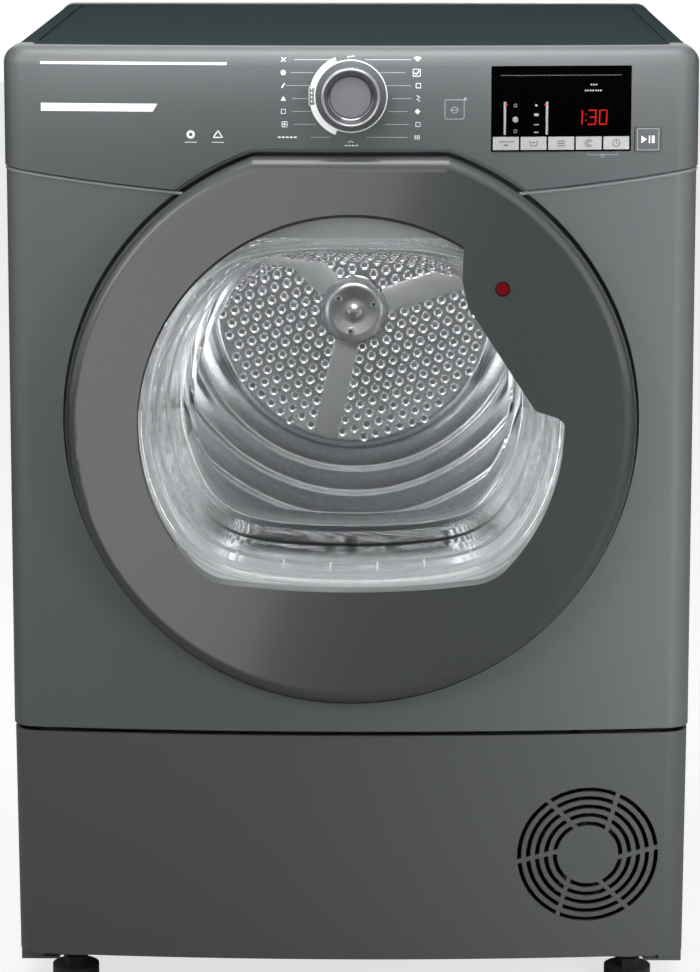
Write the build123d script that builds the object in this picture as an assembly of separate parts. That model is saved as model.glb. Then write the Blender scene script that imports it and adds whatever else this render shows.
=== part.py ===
from build123d import *
import math
import os

# Free-standing condenser clothes dryer. Millimetres, +Z up, front towards -Y, origin on the
# floor under the middle of the machine.

# Overall size
WIDTH = 596.0
DEPTH = 600.0
HEIGHT = 850.0
FOOT_HEIGHT = 26.0

# Walls, seams and clearances
SHEET = 2.0
MOULD = 3.0
CLEAR = 0.3
RUNNING = 0.05
SEAM = 1.0
KICK_SEAM = 4.0

# Bowed front
BOW_RADIUS = 2600.0
CORNER_RADIUS = 22.0
PANEL_SET_BACK = 20.0
FASCIA_PROUD = 2.0
RETURN_DEPTH = 58.0
SIDE_STEP = 2.0
FLANGE = 22.0
BACK_SET_IN = 40.0

# Fascia, worktop and kickplate
FASCIA_HEIGHT = 128.0
FASCIA_ARC_RADIUS = 1760.0
FASCIA_TOP_ROUND = 15.0
FASCIA_TOP_BAND = 24.0
TOP_THICKNESS = 23.0
TOP_STEP = 1.0
TOP_RECESS = 1.5
TOP_BORDER = 22.0
TRIM_DEPTH = 10.0
KICK_TOP_Z = 249.0
KICK_BOTTOM_Z = 40.0
KICK_UNDERCUT = 17.0
KICK_PEG_SIDE_ROOM = 98.0
KICK_PEG_DROP = 11.0
KICK_PEG_RADIUS = 4.0
GRILLE_SIDE_ROOM = 89.0
GRILLE_Z = 137.0
GRILLE_RINGS = 5
GRILLE_FIRST_RADIUS = 29.0
GRILLE_PITCH = 7.9
GRILLE_SLOT = 3.8
GRILLE_SPOKES = 6
SPOKE_WIDTH = 4.0

# Door
DOOR_SIDE_ROOM = 52.6
DOOR_TOP_ROOM = 92.0
DOOR_LOW_ROOM = 32.6
DOOR_TOP_CUT = 14.4
DOOR_NOSE = 12.0
DISH_GAP = 3.5
DISH_FLOOR_DEPTH = 40.0
SEAL_THICK = 5.0
SEAL_WIDTH = 9.0
RING_FACE_WIDTH = 62.4
RING_WALL = 4.0
OPENING_BASE_ARC = 850.0
OPENING_BASE_SHARE = 0.7923
BOWL_GROW = 3.0
BOWL_TOP_SHARE = 0.8548
BOWL_BASE_SHARE = 0.7903
BOWL_TAPER = 18.0
BOWL_TOP_TAPER = 13.0
BOWL_BASE_TAPER = 17.0
BOWL_DEPTH = 120.0
BOWL_WALL = 3.0
BOWL_CORNER = 36.0
BOWL_FLANGE = 8.0
MOUTH_GROW = 29.0
PLUG_GAP = 9.0
PLUG_DEPTH = 25.0
HINGE_SET_IN = 14.4
HINGE_PIN_RADIUS = 3.0
HINGE_HALF = 26.0
HINGE_ARM = 8.0
LATCH_SET_IN = 14.9
LATCH_HALF = 6.0
LENS_SET_IN = 6.9
LENS_ANGLE = 42.7
LENS_RADIUS = 6.5
SCREW_RADIUS = 4.0

# Drum
DRUM_RISE = 25.0
DRUM_GROW = 18.6
DRUM_BACK_ROOM = 48.0
DRUM_LIP = 26.0
CENTRE_RISE = 8.0
LIFTER_HEIGHT = 50.0
LIFTER_BASE = 64.0
LIFTER_TOP = 26.0
HUB_RADIUS = 33.0
SHAFT_RADIUS = 12.5
SHAFT_FLANGE = 60.0
BEARING_RADIUS = 24.0
BEARING_FLANGE = 46.0
BEARING_LENGTH = 22.0
FELT_WIDTH = 16.0
FELT_THICK = 6.0
FELT_SET_IN = 6.0
ROLLER_RADIUS = 22.0
ROLLER_WIDTH = 18.0
ROLLER_ANGLE = 30.0
ROLLER_PIN_RADIUS = 5.0
FILTER_HALF = 86.0
FILTER_HEIGHT = 40.0

# Drive and air
MOTOR_SIDE_ROOM = 89.0
MOTOR_Z = 137.0
MOTOR_RADIUS = 55.0
MOTOR_LENGTH = 150.0
MOTOR_SHAFT_RADIUS = 6.0
PULLEY_RADIUS = 9.0
BELT_BACK_ROOM = 155.0
BELT_WIDTH = 10.0
BELT_THICK = 2.0
IDLER_RADIUS = 16.0
IDLER_REACH = 70.0
IDLER_SET_OUT = 30.0
COOLING_FAN_RADIUS = 56.0
COOLING_FAN_WIDTH = 32.0
PROCESS_FAN_RADIUS = 66.0
PROCESS_FAN_WIDTH = 34.0
FAN_GAP = 8.0
FAN_WALL = 4.0
SPIGOT_RADIUS = 42.0
CONDENSER_SIDE_ROOM = 32.0
CONDENSER_WIDTH = 200.0
CONDENSER_BACK_ROOM = 90.0
CONDENSER_Z = (66.0, 206.0)
TUNNEL_WALL = 5.5
HEATER_SIZE = (84.0, 28.0, 70.0)
PUMP_WIDTH = 60.0
PUMP_DEPTH = 48.0
PUMP_HEIGHT = 46.0
HOSE_RADIUS = 7.5
GLAND_SIZE = (46.0, 16.0, 38.0)

# Controls
KNOB_DROP = 41.0
KNOB_RADIUS = 25.0
KNOB_CAP_RADIUS = 19.4
SPINDLE_RADIUS = 3.0
WINDOW_SIDE_ROOM = 59.6
WINDOW_WIDTH = 119.0
WINDOW_DROP = 15.8
WINDOW_HEIGHT = 72.6
KEY_COUNT = 5
KEY_SIZE = (22.0, 11.0)
KEY_PITCH = 23.55
KEY_PROUD = 1.0
START_KEY_SIDE_ROOM = 44.8
START_KEY_DROP = 78.5
START_KEY_SIZE = (22.0, 20.0)
KEY_TRAVEL = 1.5
BOARD_BACK_ROOM = 26.0
BOARD_LEFT = 32.0
BOARD_HEIGHT = 66.0

# Depths that follow from the sizes above
FRONT_Y = -DEPTH / 2
BACK_Y = DEPTH / 2
PANEL_Y = FRONT_Y + PANEL_SET_BACK
FASCIA_Y = PANEL_Y - FASCIA_PROUD
FRAME_Y = PANEL_Y + RETURN_DEPTH
BACK_PANEL_Y = BACK_Y - BACK_SET_IN
FLOOR_Y = FRONT_Y + DISH_FLOOR_DEPTH
FRAME_BACK_Y = FLOOR_Y - SEAL_THICK
RING_BACK_Y = FRAME_BACK_Y - MOULD
HINGE_Y = FRONT_Y + DOOR_NOSE
BOWL_Y = FRONT_Y + PANEL_SET_BACK
BULKHEAD_Y = FRAME_Y + SHEET
BULKHEAD_BACK_Y = BULKHEAD_Y + SHEET
FILTER_Y = (FLOOR_Y + SHEET + 3, BULKHEAD_Y - 3)
DRUM_Y = BULKHEAD_BACK_Y + FELT_THICK
DRUM_BACK_Y = BACK_PANEL_Y - DRUM_BACK_ROOM
HUB_Y = DRUM_BACK_Y - SHEET - CENTRE_RISE
ROLLER_Y = (DRUM_Y + 8, DRUM_Y + 8 + ROLLER_WIDTH)
BELT_Y = BACK_PANEL_Y - BELT_BACK_ROOM
MOTOR_Y = (BELT_Y - 15 - MOTOR_LENGTH, BELT_Y - 15)
FAN_CASE_Y = (BELT_Y + 19, BELT_Y + 19 + PROCESS_FAN_WIDTH + 6 * FAN_WALL)
PROCESS_FAN_Y = (FAN_CASE_Y[0] + 10, FAN_CASE_Y[0] + 10 + PROCESS_FAN_WIDTH)
COOLING_FAN_Y = (DRUM_Y + 2, DRUM_Y + 2 + COOLING_FAN_WIDTH)
CONDENSER_Y = (FRAME_Y + 8, BACK_PANEL_Y - CONDENSER_BACK_ROOM)
PUMP_Y = (BACK_PANEL_Y - 20 - PUMP_DEPTH, BACK_PANEL_Y - 20)
BOARD_Y = FASCIA_Y + BOARD_BACK_ROOM

# Widths and heights that follow from the sizes above
HALF = WIDTH / 2
SIDE_X = HALF - SIDE_STEP
SIDE_IN_X = SIDE_X - SHEET
TOP_Z = HEIGHT - TOP_STEP
TOP_UNDER_Z = TOP_Z - TOP_THICKNESS
BASE_Z = FOOT_HEIGHT + SHEET
FASCIA_LOW_Z = HEIGHT - FASCIA_HEIGHT
KICK_PEG_X = HALF - KICK_PEG_SIDE_ROOM
GRILLE_X = HALF - GRILLE_SIDE_ROOM
FRONT_ROOM = HEIGHT - DOOR_TOP_ROOM - KICK_TOP_Z - DOOR_LOW_ROOM
DOOR_RADIUS = min(HALF - DOOR_SIDE_ROOM, (FRONT_ROOM + DOOR_TOP_CUT) / 2)
DOOR_FLAT = DOOR_RADIUS - DOOR_TOP_CUT
DOOR_Z = HEIGHT - DOOR_TOP_ROOM - DOOR_FLAT
OPENING_RADIUS = DOOR_RADIUS - RING_FACE_WIDTH
OPENING_BASE = -OPENING_BASE_SHARE * OPENING_RADIUS
BOWL_RADIUS = OPENING_RADIUS + BOWL_GROW
BOWL_TOP = BOWL_TOP_SHARE * BOWL_RADIUS
BOWL_BASE = -BOWL_BASE_SHARE * BOWL_RADIUS
MOUTH_RADIUS = OPENING_RADIUS + MOUTH_GROW
PLUG_RADIUS = MOUTH_RADIUS - PLUG_GAP
HINGE_X = -DOOR_RADIUS + HINGE_SET_IN
LATCH_X = DOOR_RADIUS - LATCH_SET_IN
LENS_X = (OPENING_RADIUS - LENS_SET_IN) * math.cos(math.radians(LENS_ANGLE))
LENS_Z = DOOR_Z + (OPENING_RADIUS - LENS_SET_IN) * math.sin(math.radians(LENS_ANGLE))
DRUM_RADIUS = DOOR_RADIUS + DRUM_GROW
DRUM_Z = DOOR_Z + DRUM_RISE
FELT_RADIUS = DRUM_RADIUS - FELT_SET_IN
MOTOR_X = SIDE_IN_X - MOTOR_SIDE_ROOM
CONDENSER_X = (-SIDE_IN_X + CONDENSER_SIDE_ROOM, -SIDE_IN_X + CONDENSER_SIDE_ROOM + CONDENSER_WIDTH)
FAN_CASE_RADIUS = PROCESS_FAN_RADIUS + FAN_GAP + FAN_WALL
PUMP_FLOOR_Z = BASE_Z + 4
KNOB_Z = HEIGHT - KNOB_DROP
WINDOW_X = (HALF - WINDOW_SIDE_ROOM - WINDOW_WIDTH, HALF - WINDOW_SIDE_ROOM)
WINDOW_Z = (HEIGHT - WINDOW_DROP - WINDOW_HEIGHT, HEIGHT - WINDOW_DROP)
KEY_Z = WINDOW_Z[0] + KEY_SIZE[1] / 2 + 1.5
START_KEY_X = HALF - START_KEY_SIDE_ROOM
START_KEY_Z = HEIGHT - START_KEY_DROP
BOARD_X = (-BOARD_LEFT, START_KEY_X + START_KEY_SIZE[0] / 2 + 18)
BOARD_Z = (TOP_UNDER_Z - 4 - BOARD_HEIGHT, TOP_UNDER_Z - 4)


def block(x, y, z):
    """A box between pairs of limits."""
    size = Box(x[1] - x[0], y[1] - y[0], z[1] - z[0])
    return Pos((x[0] + x[1]) / 2, (y[0] + y[1]) / 2, (z[0] + z[1]) / 2) * size


def plate(sketch, y0, y1):
    """A front-view sketch, X right and Z up, made solid between two depths."""
    plane = Plane(origin=(0, y1, 0), x_dir=(1, 0, 0), z_dir=(0, -1, 0))
    return extrude(plane * sketch, y1 - y0)


def ring(inner, outer, y0, y1, x=0.0, z=0.0):
    """A tube or disc whose axis runs front to back through (x, z)."""
    sketch = Circle(outer) - Circle(inner) if inner > 0 else Circle(outer)
    return plate(Pos(x, z) * sketch, y0, y1)


def spun(points, x=0.0, z=0.0):
    """A turned piece: (radius, y) points spun round a front to back axis through (x, z)."""
    return Pos(x, 0, z) * revolve(Polygon(*points, align=None), Axis.Y)


def bow(x):
    """How far the bowed front lies behind its middle at a distance x from the middle."""
    return BOW_RADIUS - math.sqrt(BOW_RADIUS ** 2 - x ** 2)


def wrap_plan(half, face, back, corner):
    """Plan outline with a bowed front, rounded front corners and straight sides."""
    edge = face + bow(half)
    front = ThreePointArc((-half, edge), (0, face), (half, edge))
    rest = Polyline((half, edge), (half, back), (-half, back), (-half, edge))
    plan = make_face(front + rest)
    return fillet(plan.vertices().sort_by(Axis.Y)[:2], corner)


def wrap(half, face, back, corner, z):
    """The wrapped plan outline made solid between two heights."""
    plan = wrap_plan(half, face, back, corner)
    return extrude(Plane.XY.offset(z[0]) * plan, z[1] - z[0])


def skin(half, face, wall, back, z):
    """A bowed skin with side returns, open at the back, top and bottom."""
    outer = wrap(half, face, back, CORNER_RADIUS, z)
    inner = wrap(half - wall, face + wall, back + 1, CORNER_RADIUS - wall, (z[0] - 1, z[1] + 1))
    return outer - inner


def layer(face, thick, x, z):
    """A bowed slab of one thickness between side and height limits."""
    reach = face + bow(HALF) + CORNER_RADIUS + thick + 5
    front = wrap(HALF, face, reach, CORNER_RADIUS, z)
    behind = wrap(HALF, face + thick, reach + 1, CORNER_RADIUS, (z[0] - 1, z[1] + 1))
    return (front - behind) & block(x, (face - 1, reach), z)


def door_outline(grow):
    """Front outline of the door: a circle with a flat top, grown by one distance."""
    size = 4 * DOOR_RADIUS
    below = Pos(0, DOOR_FLAT + grow - size / 2) * Rectangle(size, size)
    outline = Circle(DOOR_RADIUS + grow) & below
    return Pos(0, DOOR_Z) * fillet(outline.vertices(), DOOR_NOSE + grow)


def bowl_outline(radius, top, base, shrink=0.0):
    """Front outline of the bowl: a circle cut flat above and by a wide arc below."""
    size = 4 * radius
    below = Pos(0, top - shrink - size / 2) * Rectangle(size, size)
    arc = Pos(0, base + OPENING_BASE_ARC) * Circle(OPENING_BASE_ARC - shrink)
    outline = Circle(radius - shrink) & below & arc
    return Pos(0, DOOR_Z) * fillet(outline.vertices(), BOWL_CORNER - shrink)


def grip_fin():
    """Front outline of the grip: the part of the ring that widens into its opening."""
    r = OPENING_RADIUS
    edge = (
        (0.53 * r, r),
        (0.519 * r, 0.689 * r),
        (0.546 * r, 0.568 * r),
        (0.863 * r, 0.0765 * r),
        (0.967 * r, 0.0437 * r),
        (1.109 * r, -0.0765 * r),
        (1.109 * r, r),
    )
    shape = Polygon(*edge, align=None)
    return fillet(shape.vertices().sort_by(Axis.Y)[1:4], 0.0437 * r)


def door_opening():
    """Front outline of the opening in the door ring, with the grip left standing in it."""
    arc = Pos(0, OPENING_BASE + OPENING_BASE_ARC) * Circle(OPENING_BASE_ARC)
    outline = (Circle(OPENING_RADIUS) & arc) - grip_fin()
    return Pos(0, DOOR_Z) * fillet(outline.vertices().sort_by(Axis.Y)[:2], 0.246 * OPENING_RADIUS)


def base_pan():
    """Moulded base: a tray with the condenser tunnel, motor saddles and idler post."""
    x = (-SIDE_X + 8, SIDE_X - 8)
    y = (FRAME_Y + 4, BACK_PANEL_Y - SHEET - CLEAR)
    floor = BASE_Z + 4
    tray = block(x, y, (BASE_Z, BASE_Z + 34))
    tray -= block((x[0] + 4, x[1] - 4), (y[0] + 4, y[1] - 4), (floor, BASE_Z + 35))
    room = 0.5
    hollow_x = (CONDENSER_X[0] - room, CONDENSER_X[1] + room)
    hollow_z = (CONDENSER_Z[0] - CLEAR, CONDENSER_Z[1] + room)
    tunnel = block(
        (CONDENSER_X[0] - TUNNEL_WALL, CONDENSER_X[1] + TUNNEL_WALL),
        (CONDENSER_Y[0], CONDENSER_Y[1] + TUNNEL_WALL),
        (floor, CONDENSER_Z[1] + TUNNEL_WALL),
    )
    hollow = block(hollow_x, (FRAME_Y, CONDENSER_Y[1] + room), hollow_z)
    saddles = Part()
    for saddle_y in (MOTOR_Y[0] + 20, MOTOR_Y[1] - 40):
        span = (MOTOR_X - 0.8 * MOTOR_RADIUS, MOTOR_X + 0.8 * MOTOR_RADIUS)
        saddles += block(span, (saddle_y, saddle_y + 20), (floor, MOTOR_Z))
    saddles -= ring(0, MOTOR_RADIUS + CLEAR, *MOTOR_Y, MOTOR_X, MOTOR_Z)
    pivot_x, pivot_z = idler_pivot()
    post_y = BELT_Y - 19
    post = block((pivot_x - 12, pivot_x + 12), (post_y - 14, post_y), (floor, pivot_z + 12))
    post += ring(0, 5, post_y, post_y + 10, pivot_x, pivot_z)
    return tray + tunnel + saddles + post - hollow


def side_panel(side):
    """Sheet steel side with turned-in flanges at the front, top, bottom and back."""
    z = (FOOT_HEIGHT, TOP_UNDER_Z)
    panel = block((SIDE_IN_X, SIDE_X), (FRAME_Y, BACK_Y - TRIM_DEPTH), z)
    deep = (SIDE_IN_X - FLANGE, SIDE_IN_X)
    low = (FOOT_HEIGHT, FOOT_HEIGHT + SHEET)
    panel += block((SIDE_IN_X - FLANGE + 4, SIDE_IN_X), (FRAME_Y, FRAME_Y + SHEET), z)
    panel += block(deep, (BACK_PANEL_Y - SHEET, BACK_PANEL_Y), z)
    panel += block(deep, (FRAME_Y, BACK_PANEL_Y), (TOP_UNDER_Z - SHEET, TOP_UNDER_Z))
    panel += block((SIDE_IN_X - FLANGE - 10, SIDE_IN_X), (FRAME_Y, BACK_PANEL_Y), low)
    return panel if side > 0 else mirror(panel, Plane.YZ)


def back_panel():
    """Steel back with the drum's rear collar, hot-air holes and the fan spigot's hole."""
    y = (BACK_PANEL_Y, BACK_PANEL_Y + SHEET)
    half = SIDE_IN_X - CLEAR
    panel = block((-half, half), y, (BASE_Z, TOP_UNDER_Z - SHEET - CLEAR))
    outer = FELT_RADIUS - FELT_WIDTH / 2 + 7
    panel += ring(outer - 4, outer, DRUM_BACK_Y + 7, y[0], 0, DRUM_Z)
    panel -= ring(0, SHAFT_RADIUS + 1.5, y[0] - 1, y[1] + 1, 0, DRUM_Z)
    panel -= ring(0, SPIGOT_RADIUS + 1, y[0] - 1, y[1] + 1, MOTOR_X, MOTOR_Z)
    for turn in range(18):
        angle = math.radians(20 * turn)
        reach = 0.38 * DRUM_RADIUS
        x, z = reach * math.cos(angle), DRUM_Z + reach * math.sin(angle)
        panel -= ring(0, 0.045 * DRUM_RADIUS, y[0] - 1, y[1] + 1, x, z)
    return panel


def rear_duct_cover():
    """Pear-shaped cover of the hot-air duct on the back."""
    y = (BACK_PANEL_Y + SHEET, BACK_Y - 2)

    def pear(shrink):
        top = Pos(0, DRUM_Z) * Circle(0.644 * DRUM_RADIUS - shrink)
        low = Pos(MOTOR_X, MOTOR_Z) * Circle(PROCESS_FAN_RADIUS + FAN_WALL - shrink)
        return make_hull(top.edges() + low.edges())

    shell = plate(pear(0), *y)
    shell = fillet(shell.faces().sort_by(Axis.Y)[-1].edges(), 8)
    return shell - plate(pear(MOULD), y[0] - 1, y[1] - MOULD)


def round_ends(solid):
    """Rounds a top piece's two upper side edges to run on from the fascia's rounding."""
    side_edges = solid.edges().filter_by(Axis.Y).sort_by(Axis.Z)[-2:]
    return fillet(side_edges, FASCIA_TOP_ROUND - TOP_STEP)


def top_panel():
    """Worktop with a shallow recess and a bowed front edge behind the fascia's band."""
    back = BACK_Y - TRIM_DEPTH
    front_half = HALF - FASCIA_TOP_BAND - CLEAR
    front_y = FASCIA_Y + FASCIA_TOP_BAND + CLEAR
    z = (TOP_UNDER_Z, TOP_Z)
    tongue = wrap(front_half, front_y, back, CORNER_RADIUS / 2, z)
    board = tongue + round_ends(block((-SIDE_X, SIDE_X), (FRAME_Y + CLEAR, back), z))
    border = TOP_BORDER
    inner = block(
        (-SIDE_X + border, SIDE_X - border),
        (FRAME_Y + border, back - border),
        (TOP_Z - TOP_RECESS, TOP_Z + 1),
    )
    inner = fillet(inner.edges().filter_by(Axis.Z), 14)
    under = block(
        (-SIDE_X + 30, SIDE_X - 30),
        (FRAME_Y + 12, back - 40),
        (TOP_UNDER_Z - 1, TOP_Z - 8),
    )
    return board - inner - under


def top_rear_trim():
    """Pale strip that closes the worktop's back edge."""
    y = (BACK_Y - TRIM_DEPTH, BACK_Y)
    strip = round_ends(block((-SIDE_X, SIDE_X), y, (TOP_UNDER_Z, HEIGHT)))
    return fillet(strip.edges().filter_by(Axis.X).sort_by(Axis.Z)[-2:], 2)


def board_bosses():
    """Four posts on the fascia's inside that carry the control board."""
    posts = Part()
    for x in (BOARD_X[0] + 7, BOARD_X[1] - 6):
        for z in (BOARD_Z[1] - 42, BOARD_Z[1] - 10):
            posts += ring(0, 4, FASCIA_Y + bow(x) + MOULD / 2, BOARD_Y, x, z)
    return posts


def key_centres():
    """Middle of each option key along X."""
    middle = (WINDOW_X[0] + WINDOW_X[1]) / 2
    return [middle + KEY_PITCH * (i - (KEY_COUNT - 1) / 2) for i in range(KEY_COUNT)]


def key_box(x, z, size, grow):
    """Side and height limits of one key, grown for its hole."""
    half_x, half_z = size[0] / 2 + grow, size[1] / 2 + grow
    return (x - half_x, x + half_x), (z - half_z, z + half_z)


def domed_wrap(wall, back, z):
    """The fascia's wrapped solid, one wall thickness in, with its top edge rounded."""
    solid = wrap(HALF - wall, FASCIA_Y + wall, back, CORNER_RADIUS - wall, z)
    top = solid.faces().sort_by(Axis.Z)[-1]
    return fillet(top.edges().sort_by(Axis.Y)[:-1], FASCIA_TOP_ROUND - wall)


def control_fascia():
    """Moulded control fascia: bowed, round along its top edge, cut round the door's top."""
    back = FRAME_Y - CLEAR
    z = (FASCIA_LOW_Z - 10, HEIGHT)
    shell = domed_wrap(0, back, z)
    shell -= domed_wrap(MOULD, back + 1, (z[0] - 1, HEIGHT - MOULD))
    band = FASCIA_TOP_BAND
    shell -= wrap(HALF - band, FASCIA_Y + band, back + 1, CORNER_RADIUS / 2, (z[1] - 9, z[1] + 1))
    arc_z = FASCIA_LOW_Z + FASCIA_ARC_RADIUS
    shell &= plate(Pos(0, arc_z) * Circle(FASCIA_ARC_RADIUS), FRONT_Y - 1, back + 1)
    shell -= plate(door_outline(DISH_GAP + SHEET + CLEAR), FRONT_Y - 1, back + 1)
    through = (FASCIA_Y - 1, FASCIA_Y + 30)
    window = key_box(
        sum(WINDOW_X) / 2,
        sum(WINDOW_Z) / 2,
        (WINDOW_X[1] - WINDOW_X[0], WINDOW_Z[1] - WINDOW_Z[0]),
        CLEAR,
    )
    shell -= block(window[0], through, window[1])
    hole = key_box(START_KEY_X, START_KEY_Z, START_KEY_SIZE, CLEAR)
    shell -= block(hole[0], through, hole[1])
    shell -= ring(0, SPINDLE_RADIUS + 5, *through, 0, KNOB_Z)
    return shell + board_bosses()


def display_window():
    """Dark window that lies flush in the fascia, with the option keys' holes."""
    window = layer(FASCIA_Y - CLEAR, MOULD, WINDOW_X, WINDOW_Z)
    for x in key_centres():
        hole = key_box(x, KEY_Z, KEY_SIZE, CLEAR)
        window -= block(hole[0], (FASCIA_Y - 5, FASCIA_Y + 30), hole[1])
    for x in (WINDOW_X[0] + 8, WINDOW_X[1] - 8):
        window += ring(0, 3, FASCIA_Y + bow(x) + MOULD / 2, BOARD_Y, x, BOARD_Z[1] - 10)
    return window


def push_key(x, z, size):
    """One push key: a bowed cap with a stem that ends short of its switch on the board."""
    box = key_box(x, z, size, 0)
    cap = layer(FASCIA_Y - CLEAR - KEY_PROUD, 6, *box)
    stem_y = FASCIA_Y + bow(x) + 2
    stem = block((x - 4, x + 4), (stem_y, BOARD_Y - KEY_TRAVEL - 0.4), (z - 3, z + 3))
    return cap + stem


def control_board():
    """Circuit board with switch pads, and the encoder whose spindle carries the knob."""
    board = block(BOARD_X, (BOARD_Y, BOARD_Y + SHEET), BOARD_Z)
    box_z = (BOARD_Z[0] + 12, BOARD_Z[1] - 4)
    board += block((20, 90), (BOARD_Y + SHEET, BOARD_Y + 14), box_z)
    board += ring(0, 12, BOARD_Y - 8, BOARD_Y, 0, KNOB_Z)
    return board + ring(0, SPINDLE_RADIUS, FRONT_Y + 8, BOARD_Y, 0, KNOB_Z)


def selector_knob():
    """Dished knob cap with a hollow stem on the encoder's spindle."""
    y0, y1 = FRONT_Y + 1, FASCIA_Y - 0.6
    r = KNOB_CAP_RADIUS
    dish = [(0, y0 + 4), (0.77 * r, y0 + 1.5), (0.98 * r, y0), (r, y0 + 2), (r, y1), (0, y1)]
    cap = spun(dish, 0, KNOB_Z)
    cap += ring(0, SPINDLE_RADIUS + 3.5, y1 - 1, BOARD_Y - 9, 0, KNOB_Z)
    return cap - ring(0, SPINDLE_RADIUS + RUNNING, FRONT_Y + 8 - 0.5, BOARD_Y, 0, KNOB_Z)


def knob_ring():
    """Bright ring pressed round the knob cap."""
    y0, y1 = FRONT_Y, FASCIA_Y - 0.6
    inner, outer = KNOB_CAP_RADIUS + RUNNING, KNOB_RADIUS
    profile = [(inner, y0 + 2), (inner + 1, y0), (outer - 2, y0 + 1.5), (outer, y1), (inner, y1)]
    return spun(profile, 0, KNOB_Z)


def front_panel():
    """Bowed steel front with the round dish that the door closes into."""
    back = FRAME_Y - CLEAR
    half = HALF - SEAM
    low_z = KICK_TOP_Z + KICK_SEAM
    panel = skin(half, PANEL_Y, SHEET, back, (low_z, FASCIA_LOW_Z + 60))
    arc_z = FASCIA_LOW_Z + FASCIA_ARC_RADIUS
    arc = Pos(0, arc_z) * Circle(FASCIA_ARC_RADIUS + SEAM)
    panel -= plate(arc, FRONT_Y - 1, back + 1)
    panel -= plate(door_outline(DISH_GAP), FRONT_Y - 1, back + 1)
    rim = door_outline(DISH_GAP + SHEET) - door_outline(DISH_GAP)
    room = wrap(half, PANEL_Y, back, CORNER_RADIUS, (low_z, HEIGHT))
    panel += plate(rim, FRONT_Y, FLOOR_Y + SHEET) & room
    mouth = Pos(0, DOOR_Z) * Circle(MOUTH_RADIUS)
    panel += plate(door_outline(DISH_GAP + SHEET / 2) - mouth, FLOOR_Y, FLOOR_Y + SHEET)
    slot = key_box(LATCH_X, DOOR_Z, (12, 26), 0)
    return panel - block(slot[0], (FLOOR_Y - 1, FLOOR_Y + SHEET + 1), slot[1])


def kickplate():
    """Bowed, undercut kickplate with the round air grille and two clip pegs."""

    def body(wall):
        half = HALF - SIDE_STEP - wall
        back = FRAME_Y - CLEAR + (1 if wall else 0)
        reach = 1 if wall else 0
        lift = KICK_UNDERCUT * reach / (KICK_TOP_Z - KICK_BOTTOM_Z)
        corner = CORNER_RADIUS - wall
        low = wrap_plan(half, PANEL_Y + wall + KICK_UNDERCUT + lift, back, corner)
        high = wrap_plan(half, PANEL_Y + wall - lift, back, corner)
        low = Plane.XY.offset(KICK_BOTTOM_Z - reach) * low
        return loft([low, Plane.XY.offset(KICK_TOP_Z + reach) * high])

    plate_shell = body(0) - body(MOULD)
    cuts = Sketch()
    for i in range(GRILLE_RINGS):
        middle = GRILLE_FIRST_RADIUS + GRILLE_PITCH * i
        cuts += Circle(middle + GRILLE_SLOT / 2) - Circle(middle - GRILLE_SLOT / 2)
    reach = GRILLE_FIRST_RADIUS + GRILLE_PITCH * GRILLE_RINGS
    for i in range(GRILLE_SPOKES):
        turn = 360 / GRILLE_SPOKES * i
        spoke = Pos(reach / 2, -GRILLE_FIRST_RADIUS / 3) * Rectangle(reach, SPOKE_WIDTH)
        cuts -= Rot(0, 0, turn + 14) * spoke
    grille = Pos(GRILLE_X, GRILLE_Z) * cuts
    plate_shell -= plate(grille, FRONT_Y, FRAME_Y + 2)
    peg_z = KICK_TOP_Z - KICK_PEG_DROP
    lean = KICK_UNDERCUT * KICK_PEG_DROP / (KICK_TOP_Z - KICK_BOTTOM_Z)
    for x in (-KICK_PEG_X, KICK_PEG_X):
        peg_y = PANEL_Y + bow(x) + MOULD / 2 + lean
        plate_shell += ring(0, KICK_PEG_RADIUS, peg_y, BULKHEAD_BACK_Y + 6, x, peg_z)
    return plate_shell


def roller_places():
    """Centres of the two rollers under the drum's front edge."""
    reach = DRUM_RADIUS + CLEAR + ROLLER_RADIUS
    angle = math.radians(ROLLER_ANGLE)
    drop = DRUM_Z - reach * math.cos(angle)
    return [(-reach * math.sin(angle), drop), (reach * math.sin(angle), drop)]


def front_bulkhead():
    """Steel inner front: mouth collar, felt seat, roller pins and the kickplate's clip holes."""
    y = (BULKHEAD_Y, BULKHEAD_BACK_Y)
    half = SIDE_IN_X - CLEAR
    wall = block((-half, half), y, (KICK_TOP_Z - 2 * KICK_PEG_DROP - 1, TOP_UNDER_Z - SHEET - CLEAR))
    inner = MOUTH_RADIUS + 2
    wall -= ring(0, inner, y[0] - 1, y[1] + 1, 0, DOOR_Z)
    wall += ring(inner, inner + SHEET, FLOOR_Y + SHEET, y[1], 0, DOOR_Z)
    low = DOOR_Z - inner
    slot = (-FILTER_HALF - 6, FILTER_HALF + 6)
    wall -= block(slot, (FILTER_Y[0] - 1, FILTER_Y[1] + 1), (low - 12, low + 40))
    for x, z in roller_places():
        wall += ring(0, ROLLER_PIN_RADIUS, y[1], ROLLER_Y[1] + 3, x, z)
    for x in (-KICK_PEG_X, KICK_PEG_X):
        wall -= ring(0, KICK_PEG_RADIUS + CLEAR, y[0] - 1, y[1] + 1, x, KICK_TOP_Z - KICK_PEG_DROP)
    return wall


def felt_seals():
    """Felt rings at the drum's front lip and behind its back wall."""
    outer = FELT_RADIUS
    inner = outer - FELT_WIDTH
    front = ring(inner, outer, BULKHEAD_BACK_Y, DRUM_Y - CLEAR, 0, DRUM_Z)
    rear = ring(inner, outer, DRUM_BACK_Y + CLEAR, DRUM_BACK_Y + 7, 0, DRUM_Z)
    return Compound([front.solid(), rear.solid()])


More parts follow.
